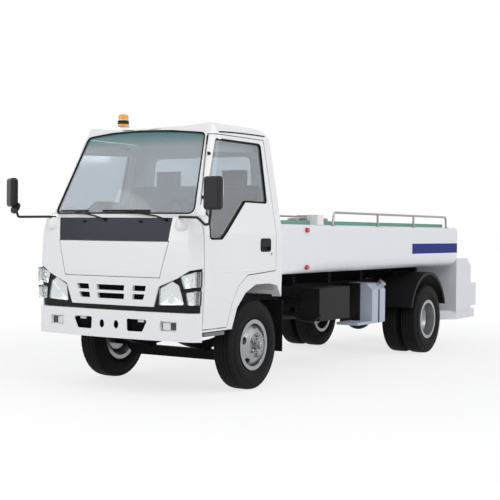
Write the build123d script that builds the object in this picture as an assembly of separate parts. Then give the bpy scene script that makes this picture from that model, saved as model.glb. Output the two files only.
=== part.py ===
from build123d import *
import os
from collections import namedtuple
from functools import lru_cache
from math import cos, pi, radians, sin

# Lavatory service truck: a narrow forward-control cab, a ladder chassis with single front and
# twin rear wheels, and a low full-width service tank with a walkway, side rails and rear cabinet.
#
# Millimetres. +Z is up and the ground is Z 0. The truck's front faces -Y and its own left side
# is +X. Every Y below is measured from the front axle; the last step moves the whole truck so
# that the origin is the middle of its footprint.

# Wheels and axles
WHEELBASE = 3815
TYRE_R = 401
TYRE_W = 205
RIM_R = 206
FLANGE_R = 228
FRONT_TRACK = 1512
REAR_TRACK = 1418
TWIN_SPACING = 240
NAVE_R = 120
HUB_R = 62
DRUM_R = 165
HAND_HOLES = 5
KINGPIN_X = 640
KINGPIN_R = 16
SPINDLE_R = 28
STEER_GAP = 1.5
RUN_GAP = 0.3

# Ladder frame
RAIL_OUTER_X = 350
RAIL_FLANGE = 65
RAIL_H = 180
RAIL_T = 8
RAIL_TOP = 810
RAIL_FRONT = -900
CROSS_H = 120
SPRING_W = 70
SUB_H = 60
BEARER_HALF = 470
BOLT_Y = 2160
BOLT_Z = 720
BOLT_SPACING_Y = 200
BOLT_SPACING_Z = 80
BOLT_HOLE_R = 8.5

# Cab
CAB_WALL = 45
CAB_REAR = 395
CAB_BOTTOM = 575
CREASE_Z = 1069
LEAN_Z = 1400
CAB_HALF = 900
LEAN = 0.1744
ROOF_Z = 2405
DOOR_GAP = 8
DOOR_RELIEF = 7
DOOR_HINGE = (886, -856)
LOW_SWING_R = 72
DASH_SWING_R = 90
DOOR_CLEAR = 12
DOOR_FRONT = -868
DOOR_REAR = 290
DOOR_BOTTOM = 592
DOOR_TOP = 2262
GLASS_SET = 12
GLASS_T = 5
SEAL_W = 28
SEAL_T = 26
FLOOR_Z = 840
FLOOR_T = 40
SEAT_FLOOR_Z = 985
STEP_Y = -470

# Front end
MIRROR_REACH = 1185
BUMPER_HALF = 905
BUMPER_FRONT = -1010
BUMPER_BOTTOM = 495
BUMPER_TOP = 733
BUMPER_T = 40
BUMPER_REAR = -885
GRILLE_BOTTOM = 775
GRILLE_TOP = 1025
LID_TOP = 1330
GARNISH_TOP = 1527
PANEL_GAP = 6
PANEL_SEAT = 22
LID_ROOM = 8
TRIM_SET = 3
PANEL_T = 30

# Service body
TANK_HALF = 950
TANK_NOSE_HALF = 858
TANK_FRONT = 440
TANK_FULL_Y = 1230
TANK_REAR = 4645
TANK_BOTTOM = 1020
TANK_TOP = 1490
TANK_EDGE_R = 130
TANK_SHOULDER_R = 45
DECK_INSET = 100
DECK_T = 40
RAIL_TUBE_R = 12
HANDRAIL_Z = 1617
HANDRAIL_INSET = 30
MANHOLE_Y = 2500
MANHOLE_R = 230
MANHOLE_T = 30
COLLAR_H = 12
COLLAR_EDGE = 6
WELL_DEPTH = 300
CABINET_HALF = 925
CABINET_FRONT = 4700
CABINET_REAR = 5205
CABINET_TOP = 1105
CABINET_BOTTOM = 450
CABINET_WALL = 25
CABINET_CHAMFER = 140
TAIL_BOX_REAR = 5395
TAIL_BOX_TOP = 784
PLINTH_H = 112

FRONT_X = FRONT_TRACK / 2
REAR_X = REAR_TRACK / 2
RAIL_MID_X = RAIL_OUTER_X - RAIL_FLANGE / 2
RAIL_BOTTOM = RAIL_TOP - RAIL_H
RAIL_REAR = CABINET_FRONT


def block(x, y, z):
    """A box between two values on each axis."""
    size = Box(x[1] - x[0], y[1] - y[0], z[1] - z[0])
    return Pos((x[0] + x[1]) / 2, (y[0] + y[1]) / 2, (z[0] + z[1]) / 2) * size


def both(shape):
    """The shape on the left side, with its mirror image on the right."""
    return [shape, mirror(shape, about=Plane.YZ)]


def outline(points, radius=0):
    """A flat face with straight sides and, where asked, rounded corners."""
    face = Sketch() + make_face(Polyline(*points, close=True))
    return fillet(face.vertices(), radius) if radius else face


def along_x(face, x):
    """A (Y, Z) outline stretched between two X values."""
    return Pos(x[0], 0, 0) * extrude(Plane.YZ * face, x[1] - x[0])


def along_y(face, y):
    """An (X, Z) outline stretched between two Y values."""
    return Pos(0, y[0], 0) * extrude(Plane.XZ * face, -(y[1] - y[0]))


def along_z(face, z):
    """An (X, Y) outline stretched between two Z values."""
    return Pos(0, 0, z[0]) * extrude(face, z[1] - z[0])


def rod(start, end, radius):
    """A round bar from one point to another."""
    path = Vector(*end) - Vector(*start)
    plane = Plane(origin=start, z_dir=path)
    return extrude(plane * Circle(radius), path.length)


def tube_run(points, radius, bend=40):
    """A round tube along straight runs with rounded bends."""
    line = FilletPolyline(*points, radius=bend)
    section = Plane(origin=line @ 0, z_dir=line % 0) * Circle(radius)
    return sweep(section, path=line)


def pair_x(points):
    """Points of the left half of a closed (X, Z) outline, completed by their mirror image."""
    return [*points, *((-x, z) for x, z in reversed(points))]


# Cab body
# Each section is a plan outline at one height: half width, how far forward the middle of the
# front lies, how far the front falls back towards its corners, and the corner's radius.
Section = namedtuple("Section", "z half front bow corner")


def lean_half(z):
    """Half width of the cab's side, which leans in above the belt."""
    return CAB_HALF - max(0, z - LEAN_Z) * LEAN


CAB_SECTIONS = (
    Section(CAB_BOTTOM, 882, -976, 36, 125),
    Section(GRILLE_BOTTOM, 892, -984, 40, 130),
    Section(CREASE_Z, CAB_HALF, -1006, 44, 140),
    Section(LID_TOP, CAB_HALF, -1002, 50, 150),
    Section(LEAN_Z, CAB_HALF, -998, 54, 150),
    Section(1533, lean_half(1533), -985, 60, 150),
    Section(1554, lean_half(1554), -942, 90, 145),
    Section(2290, lean_half(2290), -592, 78, 115),
    Section(2450, lean_half(2450), -516, 76, 110),
)


def cab_outline(section, inset):
    """The plan outline of the cab at one height, moved in by an inset."""
    half = section.half - inset
    front = section.front + inset
    corner = max(section.corner - inset, 30)
    shoulder = half - corner
    side = front + section.bow
    diagonal = corner * (1 - cos(pi / 4))
    left = ThreePointArc((half, side + corner), (half - diagonal, side + diagonal), (shoulder, side))
    nose = ThreePointArc((shoulder, side), (0, front), (-shoulder, side))
    right = ThreePointArc((-shoulder, side), (-half + diagonal, side + diagonal), (-half, side + corner))
    rear = CAB_REAR - inset
    sides = Line((-half, side + corner), (-half, rear)) + Line((-half, rear), (half, rear))
    close = Line((half, rear), (half, side + corner))
    return Pos(0, 0, section.z) * make_face(left + nose + right + sides + close)


def roof_limits(inset):
    """Everything below the domed roof, moved down by an inset."""
    crown = ThreePointArc((-440, 2370), (-100, ROOF_Z), (260, 2385))
    visor = ThreePointArc((-640, 2262), (-545, 2332), (-440, 2370))
    back = ThreePointArc((260, 2385), (352, 2350), (CAB_REAR + 5, 2262))
    low = Polyline((CAB_REAR + 5, 2262), (CAB_REAR + 5, 0), (-1300, 0), (-1300, 2262), (-640, 2262))
    lengthwise = along_x(make_face(visor + crown + back + low), (-1000, 1000))
    top = ThreePointArc((-560, 2380), (0, ROOF_Z), (560, 2380))
    left = ThreePointArc((560, 2380), (688, 2343), (752, 2255))
    right = ThreePointArc((-752, 2255), (-688, 2343), (-560, 2380))
    under = Polyline((752, 2255), (1000, 2255), (1000, 0), (-1000, 0), (-1000, 2255), (-752, 2255))
    crosswise = along_y(make_face(right + top + left + under), (-1300, 600))
    return Pos(0, 0, -inset) * (lengthwise & crosswise)


@lru_cache
def cab_body(inset):
    """The whole cab as one solid, moved in by an inset."""
    sections = [cab_outline(section, inset) for section in CAB_SECTIONS]
    return loft(Sketch() + sections, ruled=True) & roof_limits(inset)


SKIN = cab_body(0)
LINING = cab_body(CAB_WALL)
SHELL = SKIN - LINING


def slab(near, far):
    """A layer of the cab's wall between two depths under its skin."""
    return cab_body(near) - cab_body(far)


# Openings in the cab's side, as (Y, Z) points seen from the left
DOOR_POINTS = (
    (DOOR_FRONT, DOOR_BOTTOM),
    (DOOR_FRONT, 1551),
    (-753, 1847),
    (-572, DOOR_TOP),
    (DOOR_REAR, DOOR_TOP),
    (DOOR_REAR, 1060),
    (-198, 1030),
    (-345, 935),
    (-438, 790),
    (-505, DOOR_BOTTOM),
)
WINDOW_POINTS = (
    (-495, 2215),
    (216, 2215),
    (186, 1679),
    (-181, 1682),
    (-618, 1353),
    (-800, 1353),
    (-773, 1636),
)
ARCH_POINTS = (
    (-440, 500),
    (-425, 578),
    (-355, 758),
    (-225, 880),
    (-60, 948),
    (165, 950),
    (310, 930),
    (392, 820),
    (450, 780),
    (450, 500),
)
HANDLE = ((16, 1243), (184, 1352))
# Openings in its front, as (X, Z) points of the left half, from the top middle outwards
GLASS_TOP = 2296
GLASS_CORNER = (645, 2262)
GLASS_FOOT = (756, 1572)
LAMP_POINTS = (
    (447, 738),
    (447, GRILLE_BOTTOM),
    (506, 948),
    (690, 1022),
    (800, 1086),
    (960, 1122),
    (960, 738),
)
MAIN_LENS = ((500, 790), (512, 935), (635, 998), (700, 962), (742, 800))
TURN_LENS = ((716, 1040), (850, 1078), (960, 1086), (960, 962), (750, 934))
CLEAR_LENS = ((762, 904), (960, 930), (960, 800), (778, 798))
FRONT_DEPTH = (-1200, DOOR_FRONT - DOOR_GAP)


def grow(face, amount):
    """An outline made larger, or smaller where the amount is negative."""
    return offset(face, amount=amount, kind=Kind.INTERSECTION)


def windscreen_face(margin):
    """The windscreen's outline seen from the front, with a margin around it."""
    x, z = GLASS_CORNER
    foot_x, foot_z = GLASS_FOOT
    top = ThreePointArc(
        (x + margin, z + margin), (0, GLASS_TOP + margin), (-x - margin, z + margin)
    )
    sides = Polyline(
        (-x - margin, z + margin),
        (-foot_x - margin, foot_z - margin),
        (foot_x + margin, foot_z - margin),
        (x + margin, z + margin),
    )
    face = Sketch() + make_face(top + sides)
    return fillet(face.vertices(), 40 + margin)


def front_band(top, bottom):
    """An (X, Z) panel outline across the front, given its corner at the top and the bottom."""
    return outline(pair_x([top, bottom]))


def door_swing(radius):
    """The room that the doors' front edges need as they turn about their hinges."""
    x, y = DOOR_HINGE
    return both(Pos(x, y, 1200) * Cylinder(radius, 1300))


DOOR_SPAN = (500, 1100)
SIDE_DEPTH = 75
side_zone = along_y(outline((
    (CAB_HALF - SIDE_DEPTH, 400), (CAB_HALF - SIDE_DEPTH, LEAN_Z), (lean_half(2300) - SIDE_DEPTH, 2300),
    (1100, 2300), (1100, 400),
)), (-1200, 600))
door_hole = along_x(outline(DOOR_POINTS, 12), DOOR_SPAN) & side_zone
arch_hole = along_x(outline(ARCH_POINTS, 30), (300, 1100))
window_hole = along_x(outline(WINDOW_POINTS, 30), DOOR_SPAN) & side_zone

garnish_face = front_band((620, GARNISH_TOP), (596, LID_TOP))
lid_face = front_band((595, LID_TOP - PANEL_GAP), (514, GRILLE_TOP))
grille_face = front_band((513, GRILLE_TOP - PANEL_GAP), (447, GRILLE_BOTTOM))
strip_face = outline(pair_x([(447, GRILLE_BOTTOM - PANEL_GAP), (447, 738)]))
strip_cut = outline(pair_x([(447, GRILLE_BOTTOM), (447, 738)]))
lamp_face = outline(LAMP_POINTS)

nodes = {}


def make_cab():
    """The cab's fixed shell, with its floor, step wells, windows and front openings."""
    shell = SHELL
    for hole in both(door_hole) + both(arch_hole):
        shell -= hole
    shell -= along_y(windscreen_face(SEAL_W), (-1200, -380))
    shell -= along_y(outline(((-600, 1640), (600, 1640), (560, 2120), (-560, 2120)), 60), (200, 600))
    front = (-1200, -850)
    shell -= slab(0, PANEL_T + RUN_GAP) & along_y(grow(lid_face, LID_ROOM), front)
    for face in (garnish_face, grow(lid_face, -PANEL_SEAT), grille_face, strip_cut):
        shell -= along_y(face, front)
    lamps = along_y(grow(lamp_face, 0.5), FRONT_DEPTH)
    shell = shell - lamps - mirror(lamps, about=Plane.YZ)
    shell -= block((-1000, 1000), (-1100, DOOR_FRONT - DOOR_GAP), (0, 760))
    shell -= block((-800, 800), (-900, 500), (500, FLOOR_Z))
    shell -= block((-1000, 1000), (300, 500), (500, 820))
    inner = lean_half(0) - CAB_WALL
    floor = block((-inner, inner), (-930, STEP_Y), (FLOOR_Z, FLOOR_Z + FLOOR_T))
    floor += block((-inner, inner), (STEP_Y - FLOOR_T, STEP_Y), (FLOOR_Z, SEAT_FLOOR_Z + FLOOR_T))
    floor += block((-inner, inner), (STEP_Y, CAB_REAR - 10), (SEAT_FLOOR_Z, SEAT_FLOOR_Z + FLOOR_T))
    floor = floor & LINING
    for edge in both(block((inner - DOOR_CLEAR - 5, 1000), (DOOR_FRONT - DOOR_GAP, DOOR_REAR + DOOR_GAP), (500, 1200))):
        floor -= edge
    well = block((640, 828), (-850, -510), (602, 640)) + block((640, 668), (-850, -510), (602, FLOOR_Z))
    well += block((640, 828), (-545, -510), (602, FLOOR_Z))
    well += block((640, 828), (-850, -820), (602, FLOOR_Z))
    for part in (floor, *both(well)):
        for swing in door_swing(LOW_SWING_R):
            part -= swing
        shell += part
    return shell


def make_door():
    """The left door with its window opening and the recess behind its handle."""
    door = SHELL & along_x(offset(outline(DOOR_POINTS, 12), amount=-DOOR_GAP), DOOR_SPAN) & side_zone
    door = door - window_hole - along_y(windscreen_face(SEAL_W + DOOR_GAP), (-1200, -380))
    relief = (
        (DOOR_REAR - DOOR_GAP, LEAN_Z),
        (DOOR_REAR + 5, LEAN_Z),
        (DOOR_REAR + 5, DOOR_TOP + 5),
        (DOOR_REAR - DOOR_GAP - DOOR_RELIEF, DOOR_TOP + 5),
    )
    door -= along_x(outline(relief), DOOR_SPAN)
    (y0, z0), (y1, z1) = HANDLE
    pocket = outline(((y0, z0), (y1, z0), (y1, z1), (y0, z1)), 25)
    return door - along_x(pocket, (CAB_HALF - 22, 1000))


def make_front():
    """The pieces set in the cab's front: trim, lid, grille, lamps and glass."""
    layer = slab(TRIM_SET, PANEL_T)
    deep = slab(12, CAB_WALL)
    front = (-1200, -850)
    nodes["garnish"] = layer & along_y(garnish_face, front)
    nodes["front_lid"] = slab(0, PANEL_T) & along_y(lid_face, front)
    grille = slab(0, PANEL_T) & along_y(grille_face, front)
    # Grille slots: inner X, outer X at the top, outer X at the bottom, top Z, bottom Z.
    slots = (
        (-154, 154, 146, 949, 902),
        (-149, 149, 143, 876, 829),
        (243, 380, 366, 951, 904),
        (236, 362, 343, 878, 831),
    )
    for x0, x1, x2, top, bottom in slots:
        low0 = -x2 if x0 < 0 else x0 - 6
        face = outline(((x0, top), (x1, top), (x2, bottom), (low0, bottom)), 6)
        hole = along_y(face, front)
        grille = grille - hole - mirror(hole, about=Plane.YZ)
    nodes["grille"] = grille
    lenses = [along_y(outline(points, 14), FRONT_DEPTH) for points in (MAIN_LENS, TURN_LENS, CLEAR_LENS)]
    surround = deep & (along_y(lamp_face, FRONT_DEPTH))
    lens_layer = slab(5, 22)
    clear = Part()
    for lens in lenses:
        surround -= lens
        clear += lens_layer & lens
    backing = slab(30, CAB_WALL) & along_y(lamp_face, FRONT_DEPTH)
    strip = deep & along_y(strip_face, front)
    surround = surround + backing
    nodes["lamp_surround"] = surround + mirror(surround, about=Plane.YZ) + strip
    nodes["headlamp_lenses"] = clear + mirror(clear, about=Plane.YZ)
    opening = along_y(windscreen_face(0), (-1200, -380))
    rim = along_y(windscreen_face(SEAL_W), (-1200, -380))
    nodes["windscreen"] = slab(GLASS_SET, GLASS_SET + GLASS_T) & opening
    nodes["windscreen_seal"] = (slab(0, SEAL_T) & rim) - opening


def make_rear_window():
    """The glass in the cab's back wall."""
    face = outline(((-600, 1640), (600, 1640), (560, 2120), (-560, 2120)), 60)
    return along_y(face, (CAB_REAR - GLASS_SET - GLASS_T, CAB_REAR - GLASS_SET))


def make_interior():
    """Seats, dashboard and steering wheel, as seen through the glass."""
    seats = Part()
    # Seat columns: middle X, width.
    for x, width in ((430, 500), (-330, 760)):
        half = width / 2
        seats += block((x - half, x + half), (-230, 230), (SEAT_FLOOR_Z + FLOOR_T, 1270))
        back = outline(((150, 1240), (250, 1240), (320, 1830), (230, 1850)), 20)
        seats += along_x(back, (x - half, x + half))
        seats += block((x - 120, x + 120), (262, 330), (1800, 1990))
    nodes["seats"] = seats
    inner = lean_half(1500) - CAB_WALL - DOOR_CLEAR
    side = outline(((-900, 1180), (-640, 1200), (-620, 1420), (-700, 1530), (-880, 1530)), 20)
    board = along_x(side, (-inner, inner)) & cab_body(CAB_WALL + DOOR_CLEAR)
    for swing in door_swing(DASH_SWING_R):
        board -= swing
    wheel_plane = Plane(origin=(430, -440, 1520), z_dir=(0, 0.8, 0.6))
    column = wheel_plane * Pos(0, 0, -20 - RUN_GAP - 155) * Cylinder(32, 310)
    nodes["dashboard"] = board + column + block((-700, 700), (-700, -660), (FLOOR_Z + FLOOR_T, 1200))
    rim = wheel_plane * Torus(205, 14)
    spoke = wheel_plane * Box(400, 36, 12)
    boss = wheel_plane * Cylinder(45, 40)
    nodes["steering_wheel"] = rim + spoke + boss


def make_mirrors():
    """Both door mirrors on their arms, with the small round one under the right head."""
    left = tube_run(
        ((684, -925, 1531), (720, -985, 1533), (930, -1030, 1528), (1015, -1045, 1470),
         (1060, -1050, 1475), (1080, -1050, 1640)), 11, 22)
    head = Pos(1098, -1048, 1725) * Rot(0, 0, -8) * fillet(Box(182, 66, 272).edges(), 28)
    head = Pos(MIRROR_REACH - head.bounding_box().max.X, 0, 0) * head
    right = tube_run(
        ((-684, -925, 1531), (-720, -985, 1533), (-1040, -1035, 1530), (-1085, -1045, 1660)), 11, 22)
    other = Pos(-1098, -1048, 1752) * Rot(0, 0, -30) * fillet(Box(170, 66, 262).edges(), 28)
    other = Pos(-MIRROR_REACH - other.bounding_box().min.X, 0, 0) * other
    small = Pos(-1052, -1058, 1610) * Rot(62, -12, 0) * Cylinder(55, 20)
    stalk = rod((-1070, -1040, 1590), (-1052, -1050, 1610), 8)
    return left + head + right + other + small + stalk - SKIN


def make_wipers():
    """Two wipers parked along the foot of the windscreen, their blades curved with the glass."""
    blade_layer = slab(-4, GLASS_SET - RUN_GAP)
    ground = cab_body(TRIM_SET - RUN_GAP)
    wipers = Part()
    # Wiper columns: pivot, elbow, arm's end at the blade, blade's two end X values.
    columns = (
        ((-70, -1002, 1512), (-170, -1000, 1540), (-515, -884, 1588), (-700, -330)),
        ((560, -972, 1512), (470, -968, 1540), (100, -929, 1588), (-150, 350)),
    )
    for pivot, elbow, end, span in columns:
        x, y, z = pivot
        wiper = rod((x, y + 60, z - 7), pivot, 14) - ground
        wiper += rod(pivot, elbow, 7) + Pos(*pivot) * Sphere(13) + Pos(*elbow) * Sphere(7)
        wiper += rod(elbow, end, 7) + Pos(*end) * Sphere(8)
        wiper += blade_layer & block(span, (-1000, -800), (1580, 1595))
        wipers += wiper
    return wipers


def make_beacon():
    """The amber beacon on the roof, right of the middle."""
    base = Pos(-400, -330, ROOF_Z - 4) * Cylinder(52, 34)
    dome = Pos(-400, -330, ROOF_Z + 13 + 38) * Cylinder(48, 76)
    dome = fillet(dome.faces().sort_by(Axis.Z)[-1].edges(), 20)
    return base + dome - SKIN


def bumper_outline(inset, rear):
    """The bumper's plan outline, moved in by an inset."""
    half = BUMPER_HALF - inset
    front = BUMPER_FRONT + inset
    corner = 150 - inset
    bow = 46
    shoulder = half - corner
    side = front + bow
    diagonal = corner * (1 - cos(pi / 4))
    left = ThreePointArc((half, side + corner), (half - diagonal, side + diagonal), (shoulder, side))
    nose = ThreePointArc((shoulder, side), (0, front), (-shoulder, side))
    right = ThreePointArc((-shoulder, side), (-half + diagonal, side + diagonal), (-half, side + corner))
    rest = Polyline((-half, side + corner), (-half, rear), (half, rear), (half, side + corner))
    return make_face(left + nose + right + rest)


def make_bumper():
    """The front bumper: a bowed channel with air openings, tow eyes and lamp recesses."""
    rear = BUMPER_FRONT + 46 + 150 + 8
    outer = along_z(bumper_outline(0, rear), (BUMPER_BOTTOM, BUMPER_TOP))
    inner = along_z(bumper_outline(BUMPER_T, rear + 5), (BUMPER_BOTTOM - 5, BUMPER_TOP - 12))
    bumper = outer - inner
    bumper -= block((-1000, 1000), (BUMPER_REAR, rear + 50), (BUMPER_BOTTOM - 5, BUMPER_TOP + 5))
    front = (-1200, -850)
    air = along_y(outline(((190, 667), (404, 665), (353, 563), (196, 561)), 16), front)
    eye = Pos(78, -950, 612) * Rot(90, 0, 0) * extrude(Ellipse(26, 36), 120, both=True)
    fog = along_y(outline(((528, 578), (688, 576), (688, 660), (528, 660)), 8), (-1200, -955))
    for hole in (air, eye, fog):
        bumper = bumper - hole - mirror(hole, about=Plane.YZ)
    notch = block((RAIL_OUTER_X - RAIL_FLANGE - 5, RAIL_OUTER_X + 5), (RAIL_FRONT - 2, rear), (RAIL_BOTTOM, RAIL_TOP))
    bumper = bumper - notch - mirror(notch, about=Plane.YZ)
    bracket = block((RAIL_OUTER_X - RAIL_FLANGE, RAIL_OUTER_X), (-972, RAIL_FRONT), (640, 700))
    bumper += Part() + both(bracket)
    nodes["bumper"] = bumper
    lens = along_y(outline(((540, 588), (678, 587), (678, 650), (540, 650)), 6), (-1200, -955))
    shaped = along_z(bumper_outline(18, rear), (BUMPER_BOTTOM, BUMPER_TOP)) & lens
    nodes["fog_lamps"] = Part() + both(shaped)


def make_steps():
    """The tread plates under the doors, carried on brackets from the frame."""
    plate = block((640, 880), (-845, -540), (536, 566))
    arm = block((RAIL_OUTER_X, 630), (-760, -700), (RAIL_BOTTOM + 10, RAIL_BOTTOM + 50))
    post = block((600, 640), (-760, -700), (540, RAIL_BOTTOM + 50))
    foot = block((600, 660), (-760, -700), (540, 560))
    return Part() + both(plate + arm + post + foot)


def make_frame():
    """The ladder frame with its cross members and cab mounts, and the tank's sub-frame on it."""
    x0, x1 = RAIL_OUTER_X - RAIL_FLANGE, RAIL_OUTER_X
    rail = block((x0, x1), (RAIL_FRONT, RAIL_REAR), (RAIL_BOTTOM, RAIL_TOP))
    hollow = (RAIL_BOTTOM + RAIL_T, RAIL_TOP - RAIL_T)
    rail -= block((x0 - 5, x1 - RAIL_T), (RAIL_FRONT - 5, RAIL_REAR + 5), hollow)
    frame = Part() + both(rail)
    for y in (RAIL_FRONT + 60, 760, 1500, 2500, WHEELBASE - 750, RAIL_REAR - 60):
        span = x1 - RAIL_T
        frame += block((-span, span), (y - 30, y + 30), (RAIL_TOP - RAIL_T - CROSS_H, RAIL_TOP - RAIL_T))
    mount = block((x0, x1), (-640, -560), (RAIL_TOP, FLOOR_Z))
    rear_mount = block((x0, x1), (260, 330), (RAIL_TOP, SEAT_FLOOR_Z))
    frame += Part() + both(mount) + both(rear_mount)
    sub = Part() + both(block((x0, x1), (TANK_FRONT + 60, TANK_REAR - 40), (RAIL_TOP, RAIL_TOP + SUB_H)))
    for index in range(6):
        y = TANK_FRONT + 160 + index * (TANK_REAR - TANK_FRONT - 320) / 5
        sub += block((-BEARER_HALF, BEARER_HALF), (y - 30, y + 30), (RAIL_TOP + SUB_H, TANK_BOTTOM))
    for side in (-1, 1):
        for up in (-1, 1):
            y = BOLT_Y + side * BOLT_SPACING_Y / 2
            z = BOLT_Z + up * BOLT_SPACING_Z / 2
            frame -= rod((x1 - RAIL_T - 5, y, z), (x1 + 5, y, z), BOLT_HOLE_R)
    nodes["frame"] = frame
    nodes["sub_frame"] = sub


def leaf_pack(y, half_length, seat, end):
    """A leaf spring seen from the side: thick over the axle, thin at its eyes."""
    top = ThreePointArc((y - half_length, end), (y, seat + 64), (y + half_length, end))
    bottom = ThreePointArc((y - half_length, end - 16), (y, seat), (y + half_length, end - 16))
    sides = Line((y - half_length, end), (y - half_length, end - 16))
    sides += Line((y + half_length, end), (y + half_length, end - 16))
    return make_face(top + bottom + sides)


def make_springs():
    """Leaf springs over both axles, with the hangers that hold their ends to the rails."""
    x = (RAIL_MID_X - SPRING_W / 2, RAIL_MID_X + SPRING_W / 2)
    springs = Part()
    # Spring columns: axle Y, half length, seat Z, Z of the ends' upper face.
    for y, half, seat, end in ((0, 600, 342, 560), (WHEELBASE, 640, 462, 590)):
        leaf = along_x(leaf_pack(y, half, seat, end), x)
        for side in (-1, 1):
            eye = y + side * (half - 30)
            leaf += block(x, (eye - 28, eye + 28), (end - 40, RAIL_BOTTOM))
        springs += Part() + both(leaf)
    return springs


def make_front_axle():
    """The dropped beam between the kingpins, with a boss at each end and its spring pads."""
    points = [(500, 240), (585, 352), (640, 352), (640, 450), (560, 450), (470, 330)]
    beam = along_y(outline(pair_x(points)), (-38, 38))
    pad = block((RAIL_MID_X - SPRING_W / 2, RAIL_MID_X + SPRING_W / 2), (-60, 60), (320, 342))
    boss = Pos(KINGPIN_X, 0, TYRE_R) * Cylinder(42, 98)
    beam += Part() + both(pad) + both(boss)
    bore = Pos(KINGPIN_X, 0, TYRE_R) * Cylinder(KINGPIN_R + RUN_GAP, 200)
    return beam - bore - mirror(bore, about=Plane.YZ)


def make_knuckle():
    """The left steering knuckle: two ears on a kingpin, a face plate, spindle and arm."""
    ear_top = TYRE_R + 49 + STEER_GAP
    ear_low = TYRE_R - 49 - STEER_GAP
    knuckle = Pos(KINGPIN_X, 0, TYRE_R) * Cylinder(KINGPIN_R, 2 * (ear_top + 28 - TYRE_R))
    for z in ((ear_top, ear_top + 28), (ear_low - 28, ear_low)):
        knuckle += Pos(KINGPIN_X, 0, (z[0] + z[1]) / 2) * Cylinder(36, z[1] - z[0])
        knuckle += block((KINGPIN_X, 702), (-34, 34), z)
    knuckle += block((686, 702), (-45, 45), (ear_low - 28, ear_top + 28))
    knuckle += rod((700, 0, TYRE_R), (FRONT_X + 110, 0, TYRE_R), SPINDLE_R)
    arm = outline(((628, 10), (664, 10), (632, 170), (602, 170)), 8)
    knuckle += along_z(arm, (ear_low - 28, ear_low - 4))
    return knuckle


def tyre(x):
    """A plain tyre around the rim, its middle at X."""
    half = TYRE_W / 2
    points = [
        (-half + 34, RIM_R),
        (-half + 21, RIM_R + 26),
        (-half, RIM_R + 80),
        (-half + 8, TYRE_R - 42),
        (-half + 22, TYRE_R - 10),
        (-half + 42, TYRE_R - 1),
    ]
    section = outline([*points, (0, TYRE_R), *((-px, r) for px, r in reversed(points))])
    return Pos(x, 0, 0) * revolve(section, Axis.X)


def rim(x, outward):
    """A disc wheel: barrel with flanges and a dished disc whose nave lies on the outward side."""
    half = TYRE_W / 2 - 12
    barrel = outline((
        (-half, FLANGE_R), (-half, RIM_R - 14), (half, RIM_R - 14), (half, FLANGE_R),
        (half - 6, FLANGE_R), (half - 8, RIM_R), (-half + 8, RIM_R), (-half + 6, FLANGE_R),
    ))
    nave = TWIN_SPACING / 2
    disc = outline((
        (30, RIM_R - 12), (62, 186), (96, 152), (nave, NAVE_R), (nave, HUB_R - 2),
        (nave - 10, HUB_R - 2), (nave - 10, NAVE_R - 5), (86, 142), (54, 174), (18, RIM_R - 14),
    ))
    wheel = revolve(Sketch() + barrel, Axis.X) + revolve(Sketch() + disc, Axis.X)
    for index in range(HAND_HOLES):
        turn = Rot(360 / HAND_HOLES * index, 0, 0)
        wheel -= turn * Pos(80, 0, 158) * Rot(0, 48, 0) * extrude(Ellipse(22, 34), 60, both=True)
    if outward < 0:
        wheel = mirror(wheel, about=Plane.YZ)
    return Pos(x, 0, 0) * wheel


def make_wheels():
    """Front single and rear twin wheels of the left side, each turning as one piece."""
    front = Pos(0, 0, TYRE_R)
    nave = TWIN_SPACING / 2
    hub = rod((FRONT_X - 38, 0, 0), (FRONT_X + nave + 30, 0, 0), HUB_R)
    hub += rod((FRONT_X + nave + 25, 0, 0), (FRONT_X + nave + 48, 0, 0), 34)
    drum = rod((FRONT_X - 38, 0, 0), (FRONT_X + nave - 10, 0, 0), DRUM_R - 30)
    wheel = rim(FRONT_X, 1) + hub + drum
    wheel -= rod((FRONT_X - 60, 0, 0), (FRONT_X + 115, 0, 0), SPINDLE_R + RUN_GAP)
    nodes["front_tyre_left"] = front * tyre(FRONT_X)
    nodes["front_rim_left"] = front * wheel
    rear = Pos(0, WHEELBASE, TYRE_R)
    twin = TWIN_SPACING / 2
    pair = rim(REAR_X - twin, 1) + rim(REAR_X + twin, -1)
    pair += rod((REAR_X - nave - 20, 0, 0), (REAR_X + 10, 0, 0), DRUM_R - 30)
    pair += rod((REAR_X, 0, 0), (REAR_X + 100, 0, 0), HUB_R)
    nodes["rear_tyres_left"] = rear * (tyre(REAR_X - twin) + tyre(REAR_X + twin))
    nodes["rear_rims_left"] = rear * pair


def make_rear_axle():
    """The driven axle's casing, with the final drive's bowl and the spring saddles."""
    reach = REAR_X - TWIN_SPACING / 2 - 20 - RUN_GAP
    casing = rod((-reach, WHEELBASE, TYRE_R), (reach, WHEELBASE, TYRE_R), 56)
    casing += Pos(0, WHEELBASE, TYRE_R) * Sphere(170)
    casing += rod((0, WHEELBASE - 290, TYRE_R + 12), (0, WHEELBASE - 100, TYRE_R), 70)
    saddle = block((RAIL_MID_X - SPRING_W / 2, RAIL_MID_X + SPRING_W / 2),
                   (WHEELBASE - 60, WHEELBASE + 60), (TYRE_R, 462))
    return casing + Part() + both(saddle)


def make_powertrain():
    """The engine and gearbox as plain blocks on their mounts, and the propeller shaft."""
    rail = RAIL_OUTER_X - RAIL_T
    engine = block((-230, 230), (STEP_Y + 15, 170), (480, 930))
    engine += block((-150, 150), (170, 620), (500, 780))
    engine += block((-rail, rail), (-420, -340), (RAIL_BOTTOM + RAIL_T, RAIL_BOTTOM + RAIL_T + 30))
    engine += block((-rail, rail), (540, 600), (RAIL_BOTTOM + RAIL_T, RAIL_BOTTOM + RAIL_T + 30))
    engine += rod((0, 610, 600), (0, WHEELBASE - 290 - RUN_GAP, TYRE_R + 12), 42)
    return engine


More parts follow.
